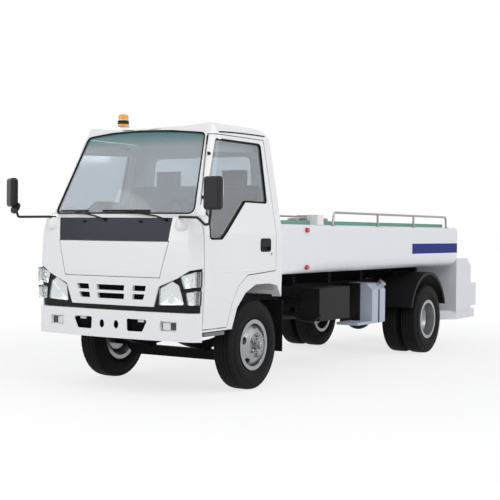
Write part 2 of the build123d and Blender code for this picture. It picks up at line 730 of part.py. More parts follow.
def make_exhaust():
    """The silencer on the right, hung from the rail, with its tail pipe."""
    silencer = rod((-480, 1500, 560), (-480, 2350, 560), 105)
    pipe = tube_run(((-480, 2350, 560), (-480, 2500, 560), (-700, 2700, 540), (-880, 2760, 520)), 30, 60)
    hanger = block((-500, -RAIL_OUTER_X), (1650, 1690), (640, 700))
    other = block((-500, -RAIL_OUTER_X), (2150, 2190), (640, 700))
    return silencer + pipe + hanger + other


def make_left_equipment():
    """The black box, the grey tank with its cap and strap, and the bent guard bar."""
    box = block((634, 850), (1227, 1886), (533, 860))
    carrier = block((RAIL_OUTER_X, 634), (1300, 1360), (700, 760))
    carrier += block((RAIL_OUTER_X, 634), (1760, 1820), (700, 760))
    guard = tube_run(((590, 1235, 600), (620, 1190, 545), (800, 1190, 530), (860, 1235, 590)), 11, 30)
    nodes["battery_box"] = box + carrier + guard + block((560, 640), (1227, 1260), (560, 620))
    section = outline(((500, 433), (850, 433), (850, 800), (775, 865), (500, 865)), 14)
    tank = along_y(section, (2430, 2758))
    cap_plane = Plane(origin=(818, 2690, 838), z_dir=(0.65, 0, 0.75))
    tank += cap_plane * Cylinder(42, 60)
    for y in (2510, 2680):
        tank += block((RAIL_OUTER_X, 500), (y - 30, y + 30), (690, 750))
    tank += block((600, 850), (2080, 2430), (433, 460))
    nodes["side_tank"] = tank


def make_mudguards():
    """Rear arches over the twin wheels, and the flaps behind the front wheels."""
    outer = 530
    centre = (WHEELBASE, 430)
    ring = Pos(*centre) * (Sketch() + Circle(outer) - Circle(outer - 10))
    keep = Pos(WHEELBASE, 830) * Rectangle(1200, 540)
    arch = along_x(ring & keep, (480, 930))
    lip = Pos(*centre) * (Sketch() + Circle(outer) - Circle(outer - 34))
    arch += along_x(lip & keep, (918, 930))
    for y in (WHEELBASE - 330, WHEELBASE + 330):
        arch += block((RAIL_OUTER_X, 490), (y - 20, y + 20), (RAIL_TOP + 12, RAIL_TOP + 42))
    nodes["rear_mudguards"] = Part() + both(arch)
    flap = block((620, 855), (485, 493), (300, 780))
    flap += block((RAIL_OUTER_X, 640), (493, 523), (700, 740)) + block((620, 855), (485, 505), (740, 780))
    nodes["front_flaps"] = Part() + both(flap)


def tank_section(half, lower, upper):
    """The tank's (X, Z) outline with its lower and upper corner radii."""
    bottom = [(half, TANK_BOTTOM), (-half, TANK_BOTTOM)]
    face = Sketch() + make_face(Polyline(*bottom, (-half, TANK_TOP), (half, TANK_TOP), close=True))
    low = face.vertices().filter_by(lambda v: v.Y < TANK_BOTTOM + 1)
    face = fillet(low, lower)
    high = face.vertices().filter_by(lambda v: v.Y > TANK_TOP - 1)
    return fillet(high, upper)


def manhole_well():
    """The round well under the manhole's lid, through the walkway and into the tank."""
    return Pos(0, MANHOLE_Y, TANK_TOP + DECK_T) * Cylinder(MANHOLE_R - 30, 2 * (DECK_T + WELL_DEPTH))


def make_tank():
    """The service tank: a long rounded body and a nose that narrows behind the cab."""
    full = tank_section(TANK_HALF, TANK_EDGE_R, TANK_SHOULDER_R)
    body = along_y(full, (TANK_FULL_Y, TANK_REAR))
    nose_face = tank_section(TANK_NOSE_HALF, 20, 12)
    near = Pos(0, TANK_FRONT, 0) * (Plane.XZ * nose_face)
    far = Pos(0, TANK_FULL_Y, 0) * (Plane.XZ * full)
    nose = loft(Sketch() + [near, far], ruled=True)
    return body + nose - manhole_well()


def make_deck():
    """The green walkway on the tank, with a raised collar round the manhole's well."""
    nose = TANK_NOSE_HALF - DECK_INSET
    full = TANK_HALF - DECK_INSET
    points = ((nose, TANK_FRONT + 30), (full, TANK_FULL_Y), (full, TANK_REAR - 240))
    mirrored = [(-x, y) for x, y in reversed(points)]
    top = TANK_TOP + DECK_T
    deck = along_z(outline([*points, *mirrored]), (TANK_TOP, top))
    rim = MANHOLE_R + COLLAR_EDGE
    deck += Pos(0, MANHOLE_Y, top + COLLAR_H / 2) * Cylinder(rim, COLLAR_H)
    lug = (MANHOLE_Y + MANHOLE_R - 30, MANHOLE_Y + MANHOLE_R + 15 + COLLAR_EDGE)
    deck += block((-40 - COLLAR_EDGE, 40 + COLLAR_EDGE), lug, (top, top + COLLAR_H))
    return deck - block(*DECK_BOX) - manhole_well()


RAIL_POSTS = (1380, 2395, 3350, 4330)
DECK_BOX = ((800, 912), (1050, 1175), (TANK_TOP, TANK_TOP + 98))


def make_handrails():
    """The stainless rails along both edges of the tank."""
    x = TANK_HALF - HANDRAIL_INSET
    ends = (RAIL_POSTS[0], RAIL_POSTS[-1])
    run = tube_run(
        ((x, ends[0] - 30, TANK_TOP - 6), (x, ends[0], HANDRAIL_Z), (x, ends[1], HANDRAIL_Z),
         (x, ends[1] + 12, TANK_TOP - 6)), RAIL_TUBE_R, 45)
    for y in RAIL_POSTS[1:-1]:
        run += rod((x, y, TANK_TOP - 2), (x, y, HANDRAIL_Z), RAIL_TUBE_R)
    return Part() + both(run - nodes["tank"])


def make_cabinet():
    """The rear cabinet: a hollow box open at its top, under a hinged lid with a sloped back."""
    front, rear, top, bottom = CABINET_FRONT, CABINET_REAR, CABINET_TOP, CABINET_BOTTOM
    slope = CABINET_CHAMFER
    half = CABINET_HALF
    wall = CABINET_WALL
    shoulder = top - slope * 0.72
    side = outline(((front, bottom), (rear, bottom), (rear, shoulder), (rear - slope, top), (front, top)))
    body = along_x(side, (-half, half))
    body -= block((-half + wall, half - wall), (front + wall, rear - wall), (bottom + wall, top + 50))
    above = (
        (front - 5, top - wall),
        (rear - slope, top - wall),
        (rear + 60, shoulder - wall - 45),
        (rear + 60, top + 60),
        (front - 5, top + 60),
    )
    lid_cut = along_x(outline(above), (-1000, 1000))
    shell = body - lid_cut
    lid = along_x(side, (-CABINET_HALF, CABINET_HALF)) & (Pos(0, 0, RUN_GAP) * lid_cut)
    lid &= block((-CABINET_HALF, CABINET_HALF), (front, rear + 100), (bottom, top + 10))
    nodes["cabinet"] = shell
    nodes["cabinet_lid"] = lid
    nodes["tail_box"] = block((-CABINET_HALF, CABINET_HALF), (rear, TAIL_BOX_REAR), (490, TAIL_BOX_TOP))
    plinth = ((700, 4480), (905, 4760), (905, TAIL_BOX_REAR - 4))
    mirrored = [(-x, y) for x, y in reversed(plinth)]
    base = along_z(outline([*plinth, *mirrored]), (bottom - PLINTH_H, bottom))
    nodes["rear_platform"] = base


def make_small():
    """Red marker lamps, the white box on the deck and the manhole's lid."""
    slope = (TANK_HALF - TANK_NOSE_HALF) / (TANK_FULL_Y - TANK_FRONT)
    y = 846
    x = TANK_NOSE_HALF + (y - TANK_FRONT) * slope
    lamps = Part()
    for z in (1438, 1080):
        lamps += Pos(x + 8, y, z) * Rot(0, 90, 0) * Cylinder(24, 30)
    nodes["marker_lamps"] = Part() + both(lamps - nodes["tank"])
    nodes["deck_box"] = block(*DECK_BOX)
    seat = TANK_TOP + DECK_T + COLLAR_H + RUN_GAP
    manhole = Pos(0, MANHOLE_Y, seat + MANHOLE_T / 2) * Cylinder(MANHOLE_R, MANHOLE_T)
    hinge = (MANHOLE_Y + MANHOLE_R - 15, MANHOLE_Y + MANHOLE_R + 15)
    nodes["manhole_lid"] = manhole + block((-40, 40), hinge, (seat, seat + MANHOLE_T))


nodes["cab_shell"] = make_cab()
door = make_door()
nodes["door_left"] = door
nodes["door_right"] = mirror(door, about=Plane.YZ)
pane = slab(GLASS_SET, GLASS_SET + GLASS_T) & window_hole
nodes["door_glass_left"] = pane
nodes["door_glass_right"] = mirror(pane, about=Plane.YZ)
make_front()
nodes["rear_window"] = make_rear_window()
make_interior()
nodes["mirrors"] = make_mirrors()
nodes["wipers"] = make_wipers()
nodes["beacon"] = make_beacon()
make_bumper()
nodes["steps"] = make_steps()
make_frame()
nodes["leaf_springs"] = make_springs()
nodes["front_axle"] = make_front_axle()
knuckle = make_knuckle()
nodes["knuckle_left"] = knuckle
nodes["knuckle_right"] = mirror(knuckle, about=Plane.YZ)
make_wheels()
for name in ("front_tyre", "front_rim", "rear_tyres", "rear_rims"):
    nodes[name + "_right"] = mirror(nodes[name + "_left"], about=Plane.YZ)
nodes["rear_axle"] = make_rear_axle()
nodes["powertrain"] = make_powertrain()
nodes["exhaust"] = make_exhaust()
make_left_equipment()
make_mudguards()
nodes["tank"] = make_tank()
nodes["deck"] = make_deck()
nodes["handrails"] = make_handrails()
make_cabinet()
make_small()

boxes = [shape.bounding_box() for shape in nodes.values()]
middle = (min(box.min.Y for box in boxes) + max(box.max.Y for box in boxes)) / 2
HOME = Pos(0, -middle, 0)

if __name__ == "__main__":
    os.makedirs("parts", exist_ok=True)
    for name, shape in nodes.items():
        export_step(HOME * shape, f"parts/{name}.step")
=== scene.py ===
import logging
import math
from dataclasses import dataclass, field
from enum import Enum
from typing import Callable, Iterable, Optional, Sequence

import bmesh
import bpy
from mathutils import Matrix, Vector
from mathutils.bvhtree import BVHTree


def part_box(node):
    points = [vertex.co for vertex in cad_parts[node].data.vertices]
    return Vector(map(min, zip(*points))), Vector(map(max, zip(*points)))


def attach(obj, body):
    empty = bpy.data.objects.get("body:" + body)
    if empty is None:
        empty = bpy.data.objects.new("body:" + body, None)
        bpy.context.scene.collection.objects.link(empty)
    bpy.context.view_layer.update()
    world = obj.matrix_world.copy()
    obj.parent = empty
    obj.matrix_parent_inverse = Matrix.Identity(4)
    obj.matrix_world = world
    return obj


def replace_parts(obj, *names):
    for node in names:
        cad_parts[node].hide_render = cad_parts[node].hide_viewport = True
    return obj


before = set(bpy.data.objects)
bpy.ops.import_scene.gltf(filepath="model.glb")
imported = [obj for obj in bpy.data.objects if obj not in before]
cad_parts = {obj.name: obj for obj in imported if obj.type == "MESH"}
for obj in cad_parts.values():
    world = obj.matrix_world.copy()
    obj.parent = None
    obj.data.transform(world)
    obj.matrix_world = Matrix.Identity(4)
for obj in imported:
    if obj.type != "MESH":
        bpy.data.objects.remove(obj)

log = logging.getLogger("lavatory_service_truck")

Tree, Node, Socket = bpy.types.NodeTree, bpy.types.Node, bpy.types.NodeSocket
Mesh, Object, Material = bpy.types.Mesh, bpy.types.Object, bpy.types.Material
Colour = Corner = tuple[float, float, float]
Point = tuple[float, float]
Outline = Sequence[Point]

AXLE_LOW, AXLE_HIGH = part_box("front_axle")
AXLE_Y = (AXLE_LOW.y + AXLE_HIGH.y) / 2

ORIGIN = Vector((0, 0, 0))
LEFT, BACK, UP = Vector((1, 0, 0)), Vector((0, 1, 0)), Vector((0, 0, 1))

# In millimetres: where rays start, and the cab's planes that stand in where a ray meets nothing.
RAY_START = 1600
FRONT_PLANE, SIDE_PLANE = -960, 880
# Past this share of UP, a bar's direction is compared with LEFT instead.
STEEP = 0.9
# In degrees: the edges under it are shaded smooth.
SMOOTH = 35.0


def turns(count: int) -> list[float]:
    """Even angles round a full turn."""
    return [2 * math.pi * step / count for step in range(count)]


def at(x: float, y: float, z: float) -> Vector:
    """A place in the frame, from millimetres with Y counted from the front axle.

    Args:
        x: millimetres to the truck's left.
        y: millimetres behind the front axle.
        z: millimetres above the ground.

    Returns:
        The point in metres in the shared frame.
    """
    return Vector((x / 1000, y / 1000 + AXLE_Y, z / 1000))


class Side(Enum):
    """The truck's two sides, as the sign of X."""

    LEFT = 1
    RIGHT = -1

    @property
    def word(self) -> str:
        """The side's name in a piece's name."""
        return self.name.lower()


class Body(Enum):
    """The bodies that pieces ride on."""

    CHASSIS = "chassis"
    DOOR_LEFT = "door_left"
    DOOR_RIGHT = "door_right"
    CABINET_LID = "cabinet_lid"
    MANHOLE_LID = "manhole_lid"
    FRONT_WHEEL_LEFT = "wheel_front_left"
    FRONT_WHEEL_RIGHT = "wheel_front_right"
    REAR_WHEELS_LEFT = "wheels_rear_left"
    REAR_WHEELS_RIGHT = "wheels_rear_right"


def door_body(side: Side) -> Body:
    """The door's body on one side."""
    return Body.DOOR_LEFT if side is Side.LEFT else Body.DOOR_RIGHT


# Node trees

FLOAT, COLOUR, VECTOR, WHOLE = "NodeSocketFloat", "NodeSocketColor", "NodeSocketVector", "NodeSocketInt"
WHITE = (1, 1, 1, 1)
COAT_ROUGHNESS = 0.05
GRAIN_DEPTH = 0.002
GLASS_INDEX = 1.45


def fill(tree: Tree, node: Node, inputs: dict) -> None:
    """Sets or links a node's inputs.

    Args:
        tree: the node's tree.
        node: the node.
        inputs: by name or number, each a plain value or the socket that it is linked from.
    """
    for key, value in inputs.items():
        if isinstance(value, Socket):
            tree.links.new(value, node.inputs[key])
        else:
            node.inputs[key].default_value = value


def add_node(tree: Tree, kind: str, inputs: dict, **settings: object) -> Node:
    """Adds one node.

    Args:
        tree: the tree that gets it.
        kind: the node's type.
        inputs: its inputs, as fill takes them.
        settings: the node's own settings.

    Returns:
        The node.
    """
    node = tree.nodes.new(kind)
    for name, value in settings.items():
        setattr(node, name, value)
    fill(tree, node, inputs)
    return node


def add_sockets(tree: Tree, way: str, sockets: dict) -> None:
    """Adds sockets to a group.

    Args:
        tree: the group.
        way: INPUT or OUTPUT.
        sockets: by name, each a type with its usual value, or with None where it has none.
    """
    for name, (kind, value) in sockets.items():
        socket = tree.interface.new_socket(name=name, in_out=way, socket_type=kind)
        if value is not None:
            socket.default_value = value


def road_film_group() -> Tree:
    """A thin uneven film of dust: it tints a colour, and dulls it where it lies.

    Returns:
        The node group, with colour and roughness outputs.
    """
    tree = bpy.data.node_groups.new("road_film", "ShaderNodeTree")
    add_sockets(tree, "INPUT", {
        "Vector": (VECTOR, None), "Paint": (COLOUR, (0.8, 0.8, 0.8, 1)),
        "Dust": (COLOUR, (0.4, 0.38, 0.35, 1)), "Amount": (FLOAT, 0.1), "Scale": (FLOAT, 3.0),
        "Roughness": (FLOAT, 0.3)})
    add_sockets(tree, "OUTPUT", {"Colour": (COLOUR, None), "Roughness": (FLOAT, None)})
    given = tree.nodes.new("NodeGroupInput").outputs
    noise = add_node(tree, "ShaderNodeTexNoise", {
        "Detail": 5, "Vector": given["Vector"], "Scale": given["Scale"]})
    spread = add_node(tree, "ShaderNodeMapRange", {
        "From Min": 0.42, "From Max": 0.75, "Value": noise.outputs["Fac"]})
    amount = add_node(tree, "ShaderNodeMath", {0: spread.outputs["Result"], 1: given["Amount"]},
                      operation="MULTIPLY")
    mix = add_node(tree, "ShaderNodeMix", {}, data_type="RGBA")
    fill(tree, mix, {"Factor": amount.outputs[0], 6: given["Paint"], 7: given["Dust"]})
    rough = add_node(tree, "ShaderNodeMath", {0: amount.outputs[0], 1: 0.5, 2: given["Roughness"]},
                     operation="MULTIPLY_ADD")
    add_node(tree, "NodeGroupOutput", {"Colour": mix.outputs[2], "Roughness": rough.outputs[0]})
    return tree


def fine_grain_group() -> Tree:
    """A fine moulded or cast grain as a height.

    Returns:
        The node group, with one height output.
    """
    tree = bpy.data.node_groups.new("fine_grain", "ShaderNodeTree")
    add_sockets(tree, "INPUT", {"Vector": (VECTOR, None), "Scale": (FLOAT, 400.0)})
    add_sockets(tree, "OUTPUT", {"Height": (FLOAT, None)})
    given = tree.nodes.new("NodeGroupInput").outputs
    noise = add_node(tree, "ShaderNodeTexNoise", {
        "Detail": 3, "Vector": given["Vector"], "Scale": given["Scale"]})
    add_node(tree, "NodeGroupOutput", {"Height": noise.outputs["Fac"]})
    return tree


ROAD_FILM = road_film_group()
FINE_GRAIN = fine_grain_group()
MADE_FINISHES: dict[str, Material] = {}


@dataclass(frozen=True)
class Finish:
    """One finish of the truck: a colour with its gloss, dust and grain."""

    name: str
    colour: Colour
    roughness: float = 0.4
    metallic: float = 0.0
    coat: float = 0.0
    specular: float = 0.5
    dust: float = 0.0
    dust_colour: Colour = (0.3, 0.28, 0.25)
    dust_scale: float = 2.5
    grain: float = 0.0
    grain_scale: float = 400.0
    slot: Optional[str] = None

    def coordinates(self, tree: Tree) -> Socket:
        """The piece's own coordinates, through a mapping."""
        place = tree.nodes.new("ShaderNodeTexCoord")
        return add_node(tree, "ShaderNodeMapping", {"Vector": place.outputs["Object"]}).outputs["Vector"]

    def material(self) -> Material:
        """The finish as a material, made once."""
        if self.name not in MADE_FINISHES:
            material = bpy.data.materials.new(f"{self.name}_finish")
            MADE_FINISHES[self.name] = material
            material.use_nodes = True
            self.shade(material.node_tree, material.node_tree.nodes["Principled BSDF"])
        return MADE_FINISHES[self.name]

    def shade(self, tree: Tree, shader: Node) -> None:
        """Sets the shader's values, and lays dust and grain on it where the finish has them."""
        paint = (*self.colour, 1)
        fill(tree, shader, {
            "Base Color": paint, "Roughness": self.roughness, "Metallic": self.metallic,
            "Coat Weight": self.coat, "Coat Roughness": COAT_ROUGHNESS, "Specular IOR Level": self.specular})
        if self.dust > 0:
            film = add_node(tree, "ShaderNodeGroup", {}, node_tree=ROAD_FILM)
            fill(tree, film, {
                "Vector": self.coordinates(tree), "Paint": paint, "Dust": (*self.dust_colour, 1),
                "Amount": self.dust, "Scale": self.dust_scale, "Roughness": self.roughness})
            fill(tree, shader, {"Base Color": film.outputs["Colour"], "Roughness": film.outputs["Roughness"]})
        if self.grain > 0:
            grain = add_node(tree, "ShaderNodeGroup", {}, node_tree=FINE_GRAIN)
            fill(tree, grain, {"Vector": self.coordinates(tree), "Scale": self.grain_scale})
            bump = add_node(tree, "ShaderNodeBump", {
                "Strength": self.grain, "Distance": GRAIN_DEPTH, "Height": grain.outputs["Height"]})
            fill(tree, shader, {"Normal": bump.outputs["Normal"]})


@dataclass(frozen=True)
class ClearFinish(Finish):
    """Glass or a clear lens, part haze and part clear, with an optional tint above a height."""

    clearness: float = 0.8
    tint: Optional[Colour] = None
    tint_from: float = 2.15
    tint_to: float = 2.27

    def shade(self, tree: Tree, shader: Node) -> None:
        """Makes the shader clear, and tints it between two heights."""
        super().shade(tree, shader)
        fill(tree, shader, {"Transmission Weight": self.clearness, "IOR": GLASS_INDEX})
        if self.tint is not None:
            split = add_node(tree, "ShaderNodeSeparateXYZ", {"Vector": self.coordinates(tree)})
            rise = add_node(tree, "ShaderNodeMapRange", {
                "From Min": self.tint_from, "From Max": self.tint_to, "Value": split.outputs["Z"]})
            mix = add_node(tree, "ShaderNodeMix", {}, data_type="RGBA")
            fill(tree, mix, {"Factor": rise.outputs["Result"], 6: (*self.colour, 1), 7: (*self.tint, 1)})
            fill(tree, shader, {"Base Color": mix.outputs[2]})


CAB_WHITE = Finish("cab_white", (0.8, 0.8, 0.81), 0.28, coat=0.5, slot="cab_paint")
TANK_WHITE = Finish("tank_white", (0.76, 0.77, 0.81), 0.34, coat=0.35, slot="tank_paint")
CABINET_WHITE = Finish("cabinet_white", (0.72, 0.72, 0.77), 0.36, coat=0.25, slot="cabinet_paint")
CHASSIS_BLACK = Finish(
    "chassis_black", (0.008, 0.008, 0.009), 0.6, specular=0.1, dust=0.3, dust_colour=(0.02, 0.019, 0.018),
    slot="chassis_black")
BLACK_PLASTIC = Finish(
    "black_plastic", (0.01, 0.01, 0.011), 0.5, specular=0.15, grain=0.15, slot="black_plastic")
MIRROR_PLASTIC = Finish(
    "mirror_plastic", (0.02, 0.019, 0.021), 0.42, specular=0.2, grain=0.1, slot="black_plastic")
GARNISH_SLATE = Finish("garnish_slate", (0.026, 0.029, 0.042), 0.3, specular=0.2, slot="garnish_plastic")
TRIM_RUBBER = Finish("trim_rubber", (0.007, 0.007, 0.008), 0.6, specular=0.1, slot="rubber")
DARK_IRON = Finish(
    "dark_iron", (0.01, 0.0095, 0.009), 0.65, specular=0.08, dust=0.35, dust_colour=(0.03, 0.026, 0.022),
    grain=0.2, slot="rust_iron")
ENGINE_IRON = Finish(
    "engine_iron", (0.014, 0.014, 0.015), 0.6, specular=0.1, dust=0.1, grain=0.2, slot="engine_iron")
TYRE_RUBBER = Finish(
    "tyre_rubber", (0.008, 0.008, 0.009), 0.68, specular=0.12, dust=0.25, dust_colour=(0.03, 0.029, 0.028),
    dust_scale=6, grain=0.25, grain_scale=260, slot="tyre")
WHEEL_SILVER = Finish(
    "wheel_silver", (0.36, 0.365, 0.38), 0.3, metallic=0.75, dust=0.2, dust_colour=(0.28, 0.27, 0.26),
    dust_scale=7, slot="wheel_silver")
NUT_STEEL = Finish("nut_steel", (0.3, 0.3, 0.31), 0.3, metallic=0.9, slot="wheel_silver")
COOL_GREY = Finish("cool_grey", (0.46, 0.5, 0.6), 0.4, dust=0.12, slot="grey_paint")
STEP_GREY = Finish("step_grey", (0.16, 0.16, 0.17), 0.5, dust=0.3, slot="step_metal")
STAINLESS = Finish("stainless", (0.34, 0.33, 0.32), 0.28, metallic=0.95, slot="stainless")
DECK_GREEN = Finish("deck_green", (0.15, 0.33, 0.26), 0.6, grain=0.3, grain_scale=700, slot="deck_green")
AMBER = Finish("amber", (0.85, 0.36, 0.03), 0.2, coat=0.6, slot="amber")
RED_LENS = Finish("red_lens", (0.5, 0.015, 0.03), 0.2, coat=0.6, slot="red_lens")
SEAT_CLOTH = Finish("seat_cloth", (0.1, 0.105, 0.12), 0.85, grain=0.5, grain_scale=900, slot="seat_fabric")
DASH_GREY = Finish("dash_grey", (0.16, 0.165, 0.175), 0.6, grain=0.2, slot="dash_plastic")
REFLECTOR_SILVER = Finish("reflector_silver", (0.86, 0.87, 0.88), 0.12, metallic=0.85, slot="lens")
BAND_BLUE = Finish("band_blue", (0.012, 0.018, 0.2), 0.4, specular=0.06, slot="tank_paint")
LAMP_SILVER = Finish("lamp_silver", (0.88, 0.89, 0.9), 0.25, metallic=0.3, slot="lens")
# Painted shade: a near-black, almost unreflective finish for the shaded insides of the front's openings.
PAINTED_SHADE_BLACK = Finish("lining_black", (0.006, 0.006, 0.007), 0.9, specular=0.05, slot="black_plastic")
SCREEN_GLASS = ClearFinish(
    "screen_glass", (0.74, 0.79, 0.83), 0.04, slot="glass", clearness=0.74, tint=(0.22, 0.5, 0.48))
SIDE_GLASS = ClearFinish("side_glass", (0.68, 0.73, 0.77), 0.04, slot="glass", clearness=0.85)
LENS_CLEAR = ClearFinish("lens_clear", (0.93, 0.95, 0.96), 0.05, slot="lens", clearness=0.95)

NODE_FINISHES: dict[Finish, tuple[str, ...]] = {
    CAB_WHITE: ("cab_shell", "door_left", "door_right", "front_lid", "grille", "bumper", "deck_box"),
    TANK_WHITE: ("tank",),
    CABINET_WHITE: ("cabinet", "cabinet_lid", "tail_box", "rear_platform"),
    CHASSIS_BLACK: ("frame", "sub_frame", "front_axle", "rear_axle"),
    BLACK_PLASTIC: ("lamp_surround", "steering_wheel", "wipers", "battery_box", "rear_mudguards"),
    MIRROR_PLASTIC: ("mirrors",),
    GARNISH_SLATE: ("garnish",),
    TRIM_RUBBER: ("windscreen_seal", "front_flaps"),
    DARK_IRON: ("leaf_springs", "knuckle_left", "knuckle_right", "exhaust"),
    ENGINE_IRON: ("powertrain",),
    TYRE_RUBBER: ("front_tyre_left", "front_tyre_right", "rear_tyres_left", "rear_tyres_right"),
    WHEEL_SILVER: ("front_rim_left", "front_rim_right", "rear_rims_left", "rear_rims_right"),
    COOL_GREY: ("side_tank",),
    STEP_GREY: ("steps",),
    STAINLESS: ("handrails", "manhole_lid"),
    DECK_GREEN: ("deck",),
    AMBER: ("beacon",),
    RED_LENS: ("marker_lamps",),
    SEAT_CLOTH: ("seats",),
    DASH_GREY: ("dashboard",),
    SCREEN_GLASS: ("windscreen",),
    SIDE_GLASS: ("door_glass_left", "door_glass_right", "rear_window"),
    LENS_CLEAR: ("headlamp_lenses", "fog_lamps"),
}


def paint_nodes() -> None:
    """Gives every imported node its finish."""
    for finish, names in NODE_FINISHES.items():
        material = finish.material()
        for name in names:
            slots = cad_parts[name].material_slots
            if not slots:
                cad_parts[name].data.materials.append(material)
            for one in slots:
                one.material = material


# Mesh making


class Surface:
    """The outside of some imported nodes, which trim pieces are laid on."""

    def __init__(self, *names: str) -> None:
        """Collects the nodes' faces."""
        points: list[Vector] = []
        faces: list[list[int]] = []
        for name in names:
            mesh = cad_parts[name].data
            base = len(points)
            points += [vertex.co.copy() for vertex in mesh.vertices]
            faces += [[base + index for index in face.vertices] for face in mesh.polygons]
        self.tree = BVHTree.FromPolygons(points, faces)

    def from_front(self, x: float, z: float, lift: float = 0.0) -> Vector:
        """The point seen from the front.

        Args:
            x: millimetres to the left.
            z: millimetres above the ground.
            lift: millimetres to stand off towards the front.

        Returns:
            The point on the surface, or on the cab's front plane where nothing is met.
        """
        found = self.tree.ray_cast(at(x, -RAY_START, z), BACK)[0]
        return (found if found is not None else at(x, FRONT_PLANE, z)) - BACK * lift / 1000

    def from_side(self, side: Side, y: float, z: float, lift: float = 0.0) -> Vector:
        """The point seen from one side.

        Args:
            side: which side of the truck.
            y: millimetres behind the front axle.
            z: millimetres above the ground.
            lift: millimetres to stand off outwards.

        Returns:
            The point on the surface, or on the cab's side plane where nothing is met.
        """
        s = side.value
        found = self.tree.ray_cast(at(s * RAY_START, y, z), -LEFT * s)[0]
        return (found if found is not None else at(s * SIDE_PLANE, y, z)) + LEFT * (s * lift / 1000)


class Piece:
    """One mesh of one finish, built up from simple forms, that rides on one body."""

    def __init__(self, name: str, finish: Finish, body: Body = Body.CHASSIS) -> None:
        """Starts an empty piece."""
        self.name, self.finish, self.body = name, finish, body
        self.mesh = bmesh.new()

    def add(self, points: Iterable[Vector], faces: Iterable[Sequence[int]]) -> "Piece":
        """Adds loose points and the faces between them."""
        made = [self.mesh.verts.new(point) for point in points]
        for face in faces:
            self.mesh.faces.new([made[index] for index in face])
        return self

    def box(self, low: Vector, high: Vector, bevel: float = 0.0) -> "Piece":
        """Adds a box between two corners.

        Args:
            low: the lowest corner.
            high: the highest corner.
            bevel: the width of its rounded edges, in metres.

        Returns:
            The piece itself.
        """
        size = high - low
        place = Matrix.Translation((low + high) / 2) @ Matrix.Diagonal((*size, 1))
        made = bmesh.ops.create_cube(self.mesh, size=1, matrix=place)
        if bevel > 0:
            edges = {edge for vertex in made["verts"] for edge in vertex.link_edges}
            bmesh.ops.bevel(
                self.mesh, geom=list(edges), offset=bevel, segments=3, profile=0.5, affect="EDGES")
        return self

    def rings(self, rings: Sequence[Sequence[Vector]], close: bool = False, caps: bool = True) -> "Piece":
        """Joins rings of points, one after another, into a skin.

        Args:
            rings: rows of as many points each, every row a closed ring.
            close: whether the last ring joins the first.
            caps: whether the two ends are filled.

        Returns:
            The piece itself.
        """
        count = len(rings[0])
        made = [[self.mesh.verts.new(point) for point in ring] for ring in rings]
        pairs = list(zip(made, made[1:]))
        if close:
            pairs.append((made[-1], made[0]))
        for one, two in pairs:
            for index in range(count):
                after = (index + 1) % count
                self.mesh.faces.new((one[index], one[after], two[after], two[index]))
        if caps and not close:
            self.mesh.faces.new(list(reversed(made[0])))
            self.mesh.faces.new(made[-1])
        return self

    def tube(self, path: Sequence[Vector], radius: float, sides: int = 10, close: bool = False) -> "Piece":
        """Adds a round bar along a path.

        Args:
            path: the points of its middle line, in metres.
            radius: the bar's radius in metres.
            sides: how many faces go round it.
            close: whether the path ends where it starts.

        Returns:
            The piece itself.
        """
        rings = []
        count = len(path)
        normal: Optional[Vector] = None
        for index, point in enumerate(path):
            before = path[index - 1] if index or close else point
            after = path[(index + 1) % count] if index < count - 1 or close else point
            along = (after - before).normalized()
            if normal is None:
                normal = along.cross(UP if abs(along.z) < STEEP else LEFT).normalized()
            normal = (normal - along * normal.dot(along)).normalized()
            other = along.cross(normal)
            rings.append([
                point + (normal * math.cos(turn) + other * math.sin(turn)) * radius for turn in turns(sides)])
        return self.rings(rings, close)

    def lathe(self, profile: Outline, centre: Vector, axis: Vector,
              steps: int = 32, close: bool = False) -> "Piece":
        """Turns a profile about an axis.

        Args:
            profile: (distance along the axis, radius) pairs in metres.
            centre: where the axis distance is 0.
            axis: the axis direction.
            steps: how many faces go round.
            close: whether the profile's end joins its start.

        Returns:
            The piece itself.
        """
        along = axis.normalized()
        side = along.cross(UP if abs(along.z) < STEEP else LEFT).normalized()
        other = along.cross(side)
        return self.rings([
            [centre + along * far + (side * math.cos(turn) + other * math.sin(turn)) * radius
             for turn in turns(steps)] for far, radius in profile], close)

    def plate(self, outline: Sequence[Vector], depth: Vector) -> "Piece":
        """Adds a flat or curved plate: an outline and its copy, a depth away."""
        return self.rings([list(outline), [point + depth for point in outline]])

    def done(self, smooth: float = SMOOTH) -> Object:
        """Turns the piece into an object that rides on its body.

        Args:
            smooth: the angle in degrees under which edges are shaded smooth.

        Returns:
            The finished object.
        """
        bmesh.ops.recalc_face_normals(self.mesh, faces=self.mesh.faces)
        mesh = bpy.data.meshes.new(self.name)
        self.mesh.to_mesh(mesh)
        self.mesh.free()
        return dress(mesh, self.name, self.body, self.finish, smooth)


def put(name: str, data: bpy.types.ID) -> Object:
    """A new object in the scene."""
    thing = bpy.data.objects.new(name, data)
    bpy.context.scene.collection.objects.link(thing)
    return thing


def dress(mesh: Mesh, name: str, body: Body, finish: Finish, smooth: float = SMOOTH) -> Object:
    """Makes an object of a mesh, with its finish, shading and body.

    Args:
        mesh: the mesh, in the shared frame.
        name: the piece's name.
        body: the body that it rides on.
        finish: its finish.
        smooth: the angle in degrees under which edges are shaded smooth.

    Returns:
        The object.
    """
    mesh.materials.clear()
    mesh.materials.append(finish.material())
    for face in mesh.polygons:
        face.use_smooth = True
        face.material_index = 0
    mesh.set_sharp_from_angle(angle=math.radians(smooth))
    thing = put(name, mesh)
    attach(thing, body.value)
    log.info("%s: %d faces on %s", name, len(mesh.polygons), body.value)
    return thing


